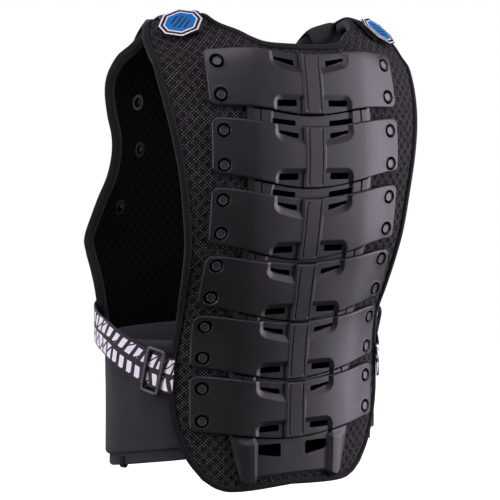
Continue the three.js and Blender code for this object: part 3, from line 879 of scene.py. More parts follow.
@dataclass
class BoundPanel:
    """Padded mesh panel of the vest with the binding sewn round its edge."""

    label: str
    form: TorsoForm
    side: Sequence[tuple]
    top: Sequence[tuple]
    hem: Sequence[tuple]
    pad_thick: float = 8
    bind_wide: float = 7.3
    bind_proud: float = 1
    bind_gap: float = 0.5
    rows: int = 140
    columns: int = 112
    puff: float = 0.9
    puff_reach: float = 5
    section_points: int = 22
    section_power: float = 3.2
    seam_inset: float = 5.4
    seam_sink: float = 0.05
    mitre_least: float = 0.6
    fill: float = 0.75
    blocks: int = 40

    def outline(self) -> Array:
        """Whole outline: left side up, top to the right, right side down, hem back."""
        left = evenly(spline(self.side), self.rows + 1)
        top = evenly(spline(self.top), self.columns // 2 + 1)
        hem = evenly(spline(self.hem), self.columns // 2 + 1)
        flip = np.array([-1, 1])
        over = np.vstack([top, (top * flip)[::-1][1:]])
        under = np.vstack([hem * flip, hem[::-1][1:]])
        parts = [left[:-1], over[:-1], (left * flip)[::-1][:-1], under[:-1]]
        return np.vstack(parts)

    def inset(self, outline: Array, inset: float) -> Array:
        """The outline moved inwards, square to its edges."""
        before = unit(outline - np.roll(outline, 1, axis=0))
        after = unit(np.roll(outline, -1, axis=0) - outline)
        along = unit(before + after)
        inward = np.stack([-along[:, 1], along[:, 0]], 1)
        mitre = np.maximum((along * before).sum(1), self.mitre_least)
        return outline + inward * (inset / mitre)[:, None]

    def patch(self, edge: Array) -> Array:
        """Places all over a four-sided outline, blended from its edges."""
        rows, columns, whole = self.rows, self.columns, len(edge)
        lower = rows + columns
        u = np.linspace(0, 1, columns + 1)[:, None, None]
        v = np.linspace(0, 1, rows + 1)[None, :, None]
        left = edge[np.arange(rows + 1)][None]
        right = edge[lower + rows - np.arange(rows + 1)][None]
        top = edge[rows + np.arange(columns + 1)][:, None]
        hem = edge[(whole - np.arange(columns + 1)) % whole][:, None]
        sides = left * (1 - u) + right * u + hem * (1 - v) + top * v
        corners = edge[0] * (1 - u) * (1 - v) + edge[lower + rows] * u * (1 - v)
        corners = corners + edge[rows] * (1 - u) * v + edge[lower] * u * v
        return sides - corners

    def pad(self, finishes: Finishes) -> bpy.types.Object:
        """Padded mesh, thinner where it goes into the binding."""
        outline = self.outline()
        flat = self.patch(self.inset(outline, self.bind_wide - self.bind_gap))
        x, run = flat[..., 0], flat[..., 1]
        far = []
        for part in np.array_split(flat.reshape(-1, 1, 2), self.blocks):
            far.append(np.hypot(*(part - outline[None]).transpose(2, 0, 1)).min(1))
        away = np.concatenate(far).reshape(x.shape) - self.bind_wide
        pinch = self.puff * np.exp(-np.maximum(away, 0) / self.puff_reach)
        outer = self.form.lifted(x, run, -pinch)
        inner = self.form.lifted(x, run, -self.pad_thick + pinch)
        sheet = Sheet(outer, inner, flat)
        materials = [finishes.mesh, finishes.lining]
        piece = sheet.build(f"padded_{self.label}", materials, CLOTH_SHARP, lining=1)
        return settle(piece, "padded_mesh", f"{self.label}_panel")

    def section(self) -> Array:
        """Closed section of the binding as inset and lift."""
        wide = self.bind_wide / 2
        high = self.pad_thick / 2 + self.bind_proud
        loop = rounded_loop(wide, high, self.section_power, self.section_points)
        return np.array([wide, -self.pad_thick / 2]) + loop * np.array([-1, 1])

    def binding(self, finishes: Finishes) -> bpy.types.Object:
        """Band folded over the panel's edge."""
        outline = self.outline()
        section = self.section()
        rings = []
        for inset, lift in section:
            flat = self.inset(outline, inset)
            rings.append(self.form.lifted(flat[:, 0], flat[:, 1], lift))
        sections = np.stack(rings, 1)
        along, across = way_round(sections[:, 0]), way_round(section)
        name = f"{self.label}_edge_binding"
        piece = ring_piece(name, sections, [finishes.binding], along, across, CLOTH_SHARP)
        return settle(piece, "edge_binding", f"{self.label}_binding")

    def stitches(self, finishes: Finishes) -> bpy.types.Object:
        """Sewn lines on both faces of the binding."""
        sewing = Stitching()
        flat = self.inset(self.outline(), self.seam_inset)
        flat = np.vstack([flat, flat[:1]])
        normal = self.form.normal(flat[:, 0], flat[:, 1])
        proud = self.bind_proud - self.seam_sink
        for lift, facing in ((proud, 1), (-self.pad_thick - proud, -1)):
            line = self.form.lifted(flat[:, 0], flat[:, 1], lift)
            sewing.add_row(line, normal * facing)
        return settle(sewing.build(f"{self.label}_edge_stitches", finishes.thread), "edge_binding")

    def build(self, finishes: Finishes) -> None:
        """Makes the pad, its binding and the sewing."""
        self.pad(finishes)
        self.binding(finishes)
        self.stitches(finishes)


BACK_PANEL = BoundPanel(
    "back",
    BACK,
    side=(
        (99.5, -486.5), (114, -466), (124.4, -440), (130.7, -410), (131.3, -380), (129.3, -350),
        (127, -320), (129.3, -290), (131.3, -260), (134.1, -230), (142, -170), (150.5, -120),
        (157.6, -70), (158.5, -28), (156, -5), (148, 18), (137, 37), (131, 56),
    ),
    top=(
        (131, 56), (110, 58), (92, 56), (89, 36), (86, 14), (80, 2), (65, -9), (53, -19),
        (38, -24.5), (0, -26.5),
    ),
    hem=((99.5, -486.5), (84, -497), (62, -501), (0, -498)),
)
FRONT_PANEL = BoundPanel(
    "front",
    FRONT,
    side=(
        (118, -365), (142, -350), (153, -331), (160, -294), (165.5, -251), (166, -234), (156, -192),
        (146, -160), (143, -130), (148, -100), (151, -71), (150, -52), (142, -36), (129, -25),
        (122, -14), (119, -1),
    ),
    top=((119, -1), (104, 2), (88, -1), (84, -20), (79, -40), (69, -61), (50, -75), (25, -82), (0, -84)),
    hem=((118, -365), (90, -374), (55, -378), (0, -379)),
)


def spaced(*stretches: tuple) -> Array:
    """Rising stations from stretches of start, end and step."""
    parts = []
    for start, end, step in stretches:
        count = max(int(round((end - start) / step)), 1)
        parts.append(np.linspace(start, end, count, endpoint=False))
    return np.concatenate([*parts, [stretches[-1][1]]])


def both_sides(right: Array) -> Array:
    """Stations from the left to the right, out of those on one side."""
    return np.concatenate([-right[::-1], right[1:]])


def snapped(x: Array, run: Array, distance: Distance, near: float) -> tuple[Array, Array]:
    """Moves grid points close to an outline onto it, so that an edge along it is clean.

    Args:
        x: First coordinate of the grid points.
        run: Second coordinate of the grid points.
        distance: Signed distance to the outline.
        near: How close a point has to be.

    Returns:
        The moved coordinates.
    """
    small = 0.05
    for _ in range(2):
        gap = distance(x, run)
        gx = (distance(x + small, run) - distance(x - small, run)) / (2 * small)
        gr = (distance(x, run + small) - distance(x, run - small)) / (2 * small)
        size = np.maximum(gx**2 + gr**2, 1e-6)
        move = np.where(np.abs(gap) < near, gap / size, 0)
        x = x - gx * move
        run = run - gr * move
    return x, run


def inside_cells(gap: Array, slack: float = 0.03) -> Array:
    """Which grid cells lie inside an outline, from the signed distances of the grid points."""
    corners = np.stack([gap[:-1, :-1], gap[1:, :-1], gap[1:, 1:], gap[:-1, 1:]])
    return (corners.max(0) < slack) & (corners.mean(0) < 0)


@dataclass
class SpinePlates:
    """Six moulded plates down the back, with their ribs, windows, slots and rivet seats."""

    plates: tuple = tuple(
        PlateRow(*row)
        for row in (
            (-33.5, -93, -39.5, -101.4, -48, -82, 5),
            (-104, -161, -113.7, -176, -117.7, -152.2, 2.3),
            (-174.6, -233, -187, -251, -187.6, -221.7, 2.3),
            (-244.5, -298, -255, -317, -254.8, -288.4, 2.3),
            (-308, -365.5, -319, -380.8, -320.6, -354.7, 2.3),
            (-373.7, -434, -384, -445, -387.7, -422.2, 2.3),
        )
    )
    half: float = 112.2
    corner: float = 8
    thick: float = 3
    seat: float = 5.4
    flange_seat: float = 1.5
    crease_in: float = 60
    crease_out: float = 104
    edge_round: float = 2.1
    rib_half: float = 11.6
    rib_proud: float = 0.7
    rib_wall: float = 0.4
    groove_at: float = 8
    groove_half: float = 0.8
    groove_deep: float = 1.0
    window_half: float = 46.8
    window_side: float = 4.5
    window_deep: float = 2.8
    low_top: float = 20.5
    low_floor: float = 15
    low_round: float = 10
    high_bottom: float = 20
    high_floor: float = 13.3
    high_round: float = 9
    high_lean: float = 0.00625
    lean_from: float = 20
    floor_thick: float = 1.3
    slot_in: float = 19
    slot_out: float = 42
    slot_round: float = 1.6
    slot_taper: float = 0.35
    low_slot: float = 8.4
    high_slot: float = 7.3
    rivet_out: float = 100
    seat_radius: float = 7.5
    seat_wall: float = 0.7
    seat_deep: float = 1.8
    zone: float = 24
    zone_share: float = 0.46
    middle_rows: int = 11
    fade_in: float = 2
    fade_out: float = 26
    floor_sharper: float = 2
    groove_from: float = 2.5
    groove_full: float = 4
    lip_high: float = 0.3
    lip_wide: float = 0.7
    window_sharp: float = 0.7
    slot_snap: float = 0.3
    seat_snap: float = 0.42
    seat_in: float = 0.1
    seat_slack: float = 0.5
    sharp: float = 30

    def edges(self, plate: PlateRow, x: Array) -> tuple[Array, Array]:
        """Upper and lower edge of a plate at a distance from the spine."""
        reach = np.clip(np.abs(x) / self.half, 0, 1)
        dip = (1 - reach**2) ** plate.bend
        past = np.clip(np.abs(x) - self.half + self.corner, 0, self.corner)
        corner = self.corner - np.sqrt(self.corner**2 - past**2)
        top = plate.top - (plate.top - plate.rib_top) * dip - corner
        bottom = plate.bottom - (plate.bottom - plate.rib_bottom) * dip + corner
        return top, bottom

    def seat_at(self, x: Array) -> Array:
        """Height of the underside over the panel: on the strip, then down to the flange."""
        t = smoothstep(self.crease_in, self.crease_out, np.abs(x))
        return self.seat + (self.flange_seat - self.seat) * t

    def near_spine(self, x: Array) -> Array:
        """1 where the windows are and 0 out at the flanges."""
        start, end = self.window_half + self.fade_in, self.window_half + self.fade_out
        return 1 - smoothstep(start, end, np.abs(x))

    def lean(self, x: Array) -> Array:
        """How much shallower the upper windows are away from the rib."""
        return 1 - self.high_lean * (np.abs(x) - self.lean_from) * self.near_spine(x)

    def window(self, plate: PlateRow, x: Array, run: Array) -> Array:
        """How far the surface has gone down into a window, from 0 at its rim to 1 on its floor."""
        away = np.abs(x)
        top, _ = self.edges(plate, x)
        start = (-FAR, -FAR)
        side_wall = self.window_half - self.window_side
        share = np.zeros(np.broadcast(x, run).shape)
        recesses = (
            (run - plate.rib_bottom, self.low_top, self.low_floor, self.low_round),
            ((top - run) / self.lean(x), self.high_bottom, self.high_floor, self.high_round),
        )
        for depth, rim_at, floor_at, corner in recesses:
            rim = rounded_box(away, depth, start, (self.window_half, rim_at), corner)
            flat = rounded_box(away, depth, start, (side_wall, floor_at), corner - self.floor_sharper)
            inside = np.maximum(-rim, 0)
            part = inside / np.maximum(inside + np.maximum(flat, 0), 1e-6)
            share = np.maximum(share, part)
        return share

    def slot_gap(self, plate: PlateRow, x: Array, run: Array) -> Array:
        """Signed distance to the nearest slot of a plate."""
        away = np.abs(x)
        top, _ = self.edges(plate, x)
        first, last = (self.slot_in, self.low_slot), (self.slot_out, self.low_floor)
        low = rounded_box(away, run - plate.rib_bottom, first, last, self.slot_round)
        tall = self.high_floor - self.high_slot
        part = np.clip((away - self.slot_in) / (self.slot_out - self.slot_in), 0, 1)
        depth = ((top - run) / self.lean(x) - self.high_slot) / (1 - self.slot_taper * part)
        high = rounded_box(away, depth, (self.slot_in, 0), (self.slot_out, tall), self.slot_round)
        return np.minimum(low, high)

    def rivet_gap(self, plate: PlateRow, x: Array, run: Array) -> Array:
        """Distance to the middle of the nearest rivet."""
        away = np.abs(x) - self.rivet_out
        return np.minimum(np.hypot(away, run - plate.rivet_up), np.hypot(away, run - plate.rivet_low))

    def relief(self, plate: PlateRow, x: Array, run: Array) -> Array:
        """Height of a plate's outer face over the panel."""
        top, bottom = self.edges(plate, x)
        away = np.abs(x)
        over, under = run - bottom, top - run
        window = self.window(plate, x, run)
        beside = smoothstep(self.rib_half - self.rib_wall, self.rib_half + self.rib_wall, away)
        lift = self.seat_at(x) + self.thick + self.rib_proud * (1 - beside)
        lift = lift - self.window_deep * window * beside
        groove = np.clip(1 - np.abs(away - self.groove_at) / self.groove_half, 0, 1)
        ends = smoothstep(self.groove_from, self.groove_full, np.minimum(over, under))
        lift = lift - self.groove_deep * groove * ends
        gap = self.rivet_gap(plate, x, run)
        around = smoothstep(self.seat_radius - self.seat_wall, self.seat_radius, gap)
        lip = np.exp(-(((gap - self.seat_radius - self.lip_wide) / self.lip_wide) ** 2))
        lift = lift - self.seat_deep * (1 - around) + self.lip_high * lip
        inside = np.clip(np.minimum(np.minimum(over, under), self.half - away), 0, self.edge_round)
        short = self.edge_round - inside
        fall = self.edge_round - np.sqrt(np.maximum(self.edge_round**2 - short**2, 0))
        return lift - fall * (1 - self.window_sharp * window * beside)

    def grid(self, plate: PlateRow) -> tuple[Array, Array]:
        """Grid points over a plate, in rows that follow its edges and its windows."""
        side_wall = self.window_half - self.window_side
        right = spaced(
            (0, 7, 1.75), (7, 9, 0.4), (9, 11.1, 0.7), (11.1, 12.1, 0.25), (12.1, self.slot_in, 1.3),
            (self.slot_in, 21, 0.5), (21, 39.5, 1.5), (39.5, self.slot_out, 0.5),
            (self.slot_out, side_wall, 0.3), (side_wall, self.window_half, 0.65), (self.window_half, 51, 1),
            (51, 91, 3.5), (91, 109, 0.95), (109, self.half, 0.32),
        )
        x = both_sides(right)
        low = spaced(
            (0, 2.1, 0.3), (2.1, self.low_slot, 1), (self.low_slot, 10, 0.4), (10, 13.5, 0.8),
            (13.5, self.low_floor, 0.4), (self.low_floor, self.low_top, 0.7),
            (self.low_top, self.zone, 0.9),
        )
        high = spaced(
            (0, 2.1, 0.3), (2.1, self.high_slot, 0.9), (self.high_slot, 9, 0.42), (9, 12, 0.75),
            (12, self.high_floor, 0.33), (self.high_floor, self.high_bottom, 0.75),
            (self.high_bottom, self.zone, 0.9),
        )
        top, bottom = (edge[:, None] for edge in self.edges(plate, x))
        room = np.minimum(1, self.zone_share * (top - bottom) / self.zone)
        near_edge = np.maximum(1 - low / self.low_slot, 0)
        level = plate.rib_bottom + low + (bottom - plate.rib_bottom) * near_edge
        along = bottom + low * room
        start = along + (level - along) * self.near_spine(x)[:, None]
        end = top - high[::-1] * self.lean(x)[:, None] * room
        part = np.linspace(0, 1, self.middle_rows + 2)[1:-1]
        between = start[:, -1:] + (end[:, :1] - start[:, -1:]) * part
        run = np.concatenate([start, between, end], 1)
        return np.broadcast_to(x[:, None], run.shape), run

    def plate(self, number: int, finishes: Finishes) -> bpy.types.Object:
        """One plate with its windows, slots and rivet seats."""
        row = self.plates[number - 1]

        def slots(x: Array, run: Array) -> Array:
            """Signed distance to this plate's slots."""
            return self.slot_gap(row, x, run)

        def seats(x: Array, run: Array) -> Array:
            """Signed distance to this plate's rivet seats."""
            return self.rivet_gap(row, x, run) - self.seat_radius

        x, run = self.grid(row)
        x, run = snapped(x, run, slots, self.slot_snap)
        x, run = snapped(x, run, seats, self.seat_snap)
        outer_lift = self.relief(row, x, run)
        inner_lift = np.minimum(self.seat_at(x), outer_lift - self.floor_thick)
        outer = BACK.lifted(x, run, outer_lift)
        inner = BACK.lifted(x, run, inner_lift)
        sheet = Sheet(outer, inner, np.stack([x, run], -1), ~inside_cells(slots(x, run)))
        # The floors of the rivet seats take the black finish: painted shade in the ring round each rivet
        # head.
        dark = inside_cells(seats(x, run) + self.seat_wall + self.seat_in, self.seat_slack)
        materials = [finishes.plate, finishes.hollow]
        piece = sheet.build(f"moulded_plate_{number}", materials, self.sharp, dark.astype(int))
        return settle(piece, "moulded_plate", f"plate_{number}")

    def build(self, finishes: Finishes) -> None:
        """Makes all plates and their rivet heads."""
        rivet = RivetHead()
        for number, row in enumerate(self.plates, 1):
            self.plate(number, finishes)
            lift = self.flange_seat + self.thick - self.seat_deep
            for side in Side:
                for word, level in (("up", row.rivet_up), ("low", row.rivet_low)):
                    node = f"rivet_{number}_{side.label}_{word}"
                    rivet.place(node, BACK, side.value * self.rivet_out, level, lift, finishes)


@dataclass
class RivetHead:
    """Round plastic rivet head with a thin raised rim round a flat face."""

    sides: int = 36
    profile: tuple = (
        (0.02, 1.75), (2.4, 1.75), (3.5, 1.72), (3.75, 1.76), (3.95, 2.1), (4.2, 2.25), (4.5, 2.15),
        (4.75, 1.75), (4.8, 1.2), (4.8, 0.0), (3.0, 0.0), (0.02, 0.0),
    )

    def mesh(self, name: str, place: Array, out: Array, material: bpy.types.Material) -> bpy.types.Object:
        """Turned head standing at a place.

        Args:
            name: Name of the piece.
            place: Middle of its foot.
            out: Direction in which it stands up.
            material: Its finish.

        Returns:
            The new object.
        """
        profile = np.array(self.profile)
        across = unit(np.cross(out, [0.0, 0.0, 1.0]))
        beside = np.cross(out, across)
        turn = np.arange(self.sides) * 2 * math.pi / self.sides
        spoke = np.cos(turn)[:, None] * across + np.sin(turn)[:, None] * beside
        sections = place + spoke[:, None] * profile[None, :, :1] + out * profile[None, :, 1:]
        along = np.linspace(0, 2 * math.pi * profile[:, 0].max(), self.sides + 1)
        return ring_piece(name, sections, [material], along, way_round(profile))

    def place(
        self, node: str, form: TorsoForm, x: float, run: float, lift: float, finishes: Finishes
    ) -> None:
        """Puts a head on a panel's form in the place of a rivet solid.

        Args:
            node: Name of the solid.
            form: Form of the panel.
            x: Distance from the spine.
            run: Level on the panel.
            lift: Height of the head's foot over the panel.
            finishes: Materials of the vest.
        """
        piece_name = node.replace("rivet", "rivet_head")
        piece = self.mesh(piece_name, form.lifted(x, run, lift), form.normal(x, run), finishes.rivet)
        settle(piece, "rivet_plastic", node)


@dataclass
class SpineStrip:
    """Long moulded strip under the plates, with slots between them and a holed tail."""

    top: float = -38
    floor: float = 2.8
    rib: float = 5.2
    tail_rib: float = 8.8
    under: float = 0.9
    half: float = 74
    rib_inner: float = 46
    rib_top: float = 49
    tail_top: float = 47.5
    rib_wall: float = 3.2
    tail_wall: float = 5
    notch_at: float = 60
    notch_half: float = 1.1
    notch_deep: float = 1.8
    tail_start: float = -434
    tail_rows: int = 84
    flank: float = 7
    tail_flank: float = 20
    taper: float = 0.66
    tail_ends: tuple = (
        (0, -486), (17, -486), (38, -486.5), (43, -487.5), (48, -491), (56, -494.5), (67, -490),
        (74, -476),
    )
    hole_in: float = 15
    hole_out: float = 42
    hole_top: float = -450.5
    hole_bottom: float = -465.5
    hole_rise: float = 4.5
    hole_round: float = 2.6
    slotted: tuple = (2, 3)
    slot_in: float = 20.5
    slot_out: float = 48
    slot_high: float = 5.6
    under_slots: float = 1.4
    shade_half: float = 1.1
    shade_out: float = 70
    hollow: float = 0.35
    hollow_edge: float = 0.05
    hollow_slack: float = 0.1
    slot_under: float = 3
    slot_round: float = 1
    tail_fade: tuple = (8, 16)
    notch_fade: float = 6
    flank_low: float = 0.15
    end_fade: float = 0.06
    end_low: float = 0.55
    thin: float = 0.5
    hidden_in: float = 16
    fine_step: float = 1.12
    hidden_step: float = 3
    last_step: float = 1.2
    snap: float = 0.62
    sharp: float = 35

    def end(self, away: Array) -> Array:
        """Lowest level of the strip at a distance from the spine."""
        table = np.array(self.tail_ends, float)
        return np.interp(away, table[:, 0], table[:, 1])

    def hollow_gap(self, plates: SpinePlates, x: Array, run: Array) -> Array:
        """Signed distance to the nearest slot, hole, place under a plate's slot or thin band under a
        plate's lower edge; all of these take the black finish as painted shade.
        """
        away = np.abs(x)
        part = np.clip((away - self.hole_in) / (self.hole_out - self.hole_in), 0, 1)
        tall = self.hole_top - self.hole_bottom
        level = (self.hole_top - run) / (tall - self.hole_rise * part) * tall
        gap = rounded_box(away, level, (self.hole_in, 0), (self.hole_out, tall), self.hole_round)
        for number, row in enumerate(plates.plates, 1):
            gap = np.minimum(gap, plates.slot_gap(row, x, run) - self.under_slots)
            top, bottom = plates.edges(row, x)
            # Thin band just under each plate's lower edge: painted shadow of the plate on the strip.
            shade = np.abs(run - bottom + self.shade_half / 2) - self.shade_half
            gap = np.minimum(gap, np.maximum(shade, away - self.shade_out))
            if number in self.slotted:
                first, last = (self.slot_in, -self.slot_under), (self.slot_out, self.slot_high)
                gap = np.minimum(gap, rounded_box(away, run - top, first, last, self.slot_round))
        return gap

    def relief(self, away: Array, run: Array, tail: Array) -> Array:
        """Height of the strip's outer face over the panel, without its slots."""
        away, run, tail = np.broadcast_arrays(away, run, tail)
        below = smoothstep(*(self.tail_start - fade for fade in self.tail_fade), run)
        rib_high = self.rib + (self.tail_rib - self.rib) * below
        wide = self.rib_wall + (self.tail_wall - self.rib_wall) * below
        crest = self.rib_top + (self.tail_top - self.rib_top) * below
        wall = np.clip((away - crest + wide) / wide, 0, 1)
        flank = self.flank + (self.tail_flank - self.flank) * below
        outer = np.sin(np.clip((self.half - away) / flank, 0, 1) * math.pi / 2)
        notch = np.clip(1 - np.abs(away - self.notch_at) / self.notch_half, 0, 1)
        notch = notch * smoothstep(self.tail_start, self.tail_start + self.notch_fade, run)
        rim = smoothstep(0, self.end_fade, 1 - tail)
        slope = self.flank_low + (1 - self.flank_low) * outer
        lift = self.floor + (rib_high - self.floor) * wall * slope - self.notch_deep * notch
        return np.maximum(lift * (self.end_low + (1 - self.end_low) * rim), self.under + self.thin)

    def grid(self, plates: SpinePlates) -> tuple[Array, Array, Array, Array]:
        """Stations from the spine, grid points and how far each is down the tail."""
        right = spaced(
            (0, 14, 2.8), (14, 24, 0.9), (24, 36, 2), (36, 42.5, 0.9), (42.5, 49, 0.6), (49, 51, 1),
            (51, 58.9, 2.6), (58.9, 61.1, 0.55), (61.1, 70, 1.8), (70, self.half, 0.9),
        )
        station = both_sides(right)
        stretches = []
        level = self.top
        for row in plates.plates:
            start = min(row.top, row.rib_top) - self.hidden_in
            stop = row.bottom + self.hidden_in
            stretches += [(-level, -start, self.fine_step), (-start, -stop, self.hidden_step)]
            level = stop
        stretches.append((-level, -self.tail_start, self.last_step))
        upper = -spaced(*stretches)
        share = np.linspace(0, 1, self.tail_rows)[1:]
        away = np.abs(station)[:, None]
        end = self.end(away)
        tail = self.tail_start + (end - self.tail_start) * share
        run = np.concatenate([np.broadcast_to(upper, (len(station), len(upper))), tail], 1)
        down = np.clip((run - self.tail_start) / (end - self.tail_start), 0, 1)
        beyond = np.maximum(away - self.rib_inner, 0)
        wide = np.minimum(away, self.rib_inner) + beyond * (1 + (self.taper - 1) * down)
        return away, np.sign(station)[:, None] * wide, run, down

    def build(self, plates: SpinePlates, finishes: Finishes) -> None:
        """Makes the strip."""

        def hollows(x: Array, run: Array) -> Array:
            """Signed distance to the strip's slots, holes and painted shadow bands."""
            return self.hollow_gap(plates, x, run)

        away, x, run, down = self.grid(plates)
        x, run = snapped(x, run, hollows, self.snap)
        gap = hollows(x, run)
        lift = self.relief(away, run, down)
        lift = np.where(gap < -self.hollow_edge, self.under + self.hollow, lift)
        outer = BACK.lifted(x, run, lift)
        inner = BACK.lifted(x, run, self.under)
        sheet = Sheet(outer, inner, np.stack([x, run], -1))
        # Slots, holes and the bands under the plates take the black finish as painted shade.
        dark = inside_cells(gap, self.hollow_slack)
        materials = [finishes.core, finishes.hollow]
        piece = sheet.build("spine_strip", materials, self.sharp, dark.astype(int))
        settle(piece, "core_plastic", "spine_core")


@dataclass
class ChestShield:
    """Plain moulded shield on the front panel, and its rivets on both faces."""

    outline: tuple = (
        (-300, 55), (-285, 95), (-245, 128), (-201, 134), (-137, 113), (-84, 116), (-66, 98),
    )
    neck_dip: float = 32
    lift: float = 1.9
    thick: float = 3
    ridge: float = 4
    edge: float = 2
    columns: int = 100
    rows: int = 90
    rivets: tuple = ((104, -84), (100, -137), (123, -201))
    cap_profile: tuple = (
        (0.02, 3.6), (2.4, 3.4), (4.2, 2.7), (5.2, 1.9), (5.6, 1.3), (6.8, 1.2), (8.3, 1.45), (8.9, 1.35),
        (9.1, 1.0), (9.1, 0.0), (4.0, 0.0), (0.02, 0.0),
    )

    step_high: float = 1.4
    step_from: float = 9
    step_full: float = 12
    vents: tuple = (-0.62, -0.36, 0.36, 0.62)
    vent_spread: float = 110
    vent_half: tuple = (2.2, 3.6)
    vent_reach: tuple = (38, 42)
    vent_deep: float = 1.6
    rivet_sink: float = 0.5
    cap_sink: float = 0.8
    sharp: float = 35

    def shield(self, finishes: Finishes) -> None:
        """Makes the shield, stepped near its edge and with shallow vents."""
        share = np.linspace(-1, 1, self.columns + 1)[:, None]
        part = np.linspace(0, 1, self.rows + 1)[None]
        first, last = self.outline[0][0], self.outline[-1][0]
        level = first + (last - first) * part
        half = sample(self.outline, level, 1)
        x = share * half
        dip = self.neck_dip * (1 - share**2) * part**3
        run = level - dip
        from_side = (1 - np.abs(share)) * half
        from_end = np.minimum(part, 1 - part) * (last - first)
        inside = np.clip(np.minimum(from_side, from_end), 0, self.edge)
        fall = self.edge - np.sqrt(np.maximum(self.edge**2 - (self.edge - inside) ** 2, 0))
        step = smoothstep(self.step_from, self.step_full, np.minimum(from_side, from_end)) - 1
        height = self.lift + self.thick + self.step_high * step - fall
        height = height + self.ridge * (1 - np.abs(share)) ** 2
        along = np.abs(part - 0.5) * (last - first)
        for vent in self.vents:
            across = np.abs(share - vent) * self.vent_spread
            hollow = (1 - smoothstep(*self.vent_half, across)) * (1 - smoothstep(*self.vent_reach, along))
            height = height - self.vent_deep * hollow
        outer = FRONT.lifted(x, run, height)
        inner = FRONT.lifted(x, run, self.lift)
        sheet = Sheet(outer, inner, np.stack([x, run], -1))
        piece = sheet.build("chest_shield", [finishes.plate], self.sharp)
        settle(piece, "moulded_plate", "chest_plate")

    def build(self, finishes: Finishes) -> None:
        """Makes the shield, its rivets and their caps inside the panel."""
        self.shield(finishes)
        head = RivetHead()
        inner_cap = RivetHead(profile=self.cap_profile)
        for number, (away, level) in enumerate(self.rivets, 1):
            for side in Side:
                place = side.value * away
                node = f"chest_rivet_{number}_{side.label}"
                head.place(node, FRONT, place, level, self.lift + self.thick - self.rivet_sink, finishes)
                at = FRONT.lifted(place, level, self.cap_sink - FRONT_PANEL.pad_thick)
                out = -FRONT.normal(place, level)
                cap = inner_cap.mesh(f"chest_rivet_cap_{number}_{side.label}", at, out, finishes.cap)
                settle(cap, "rivet_plastic")


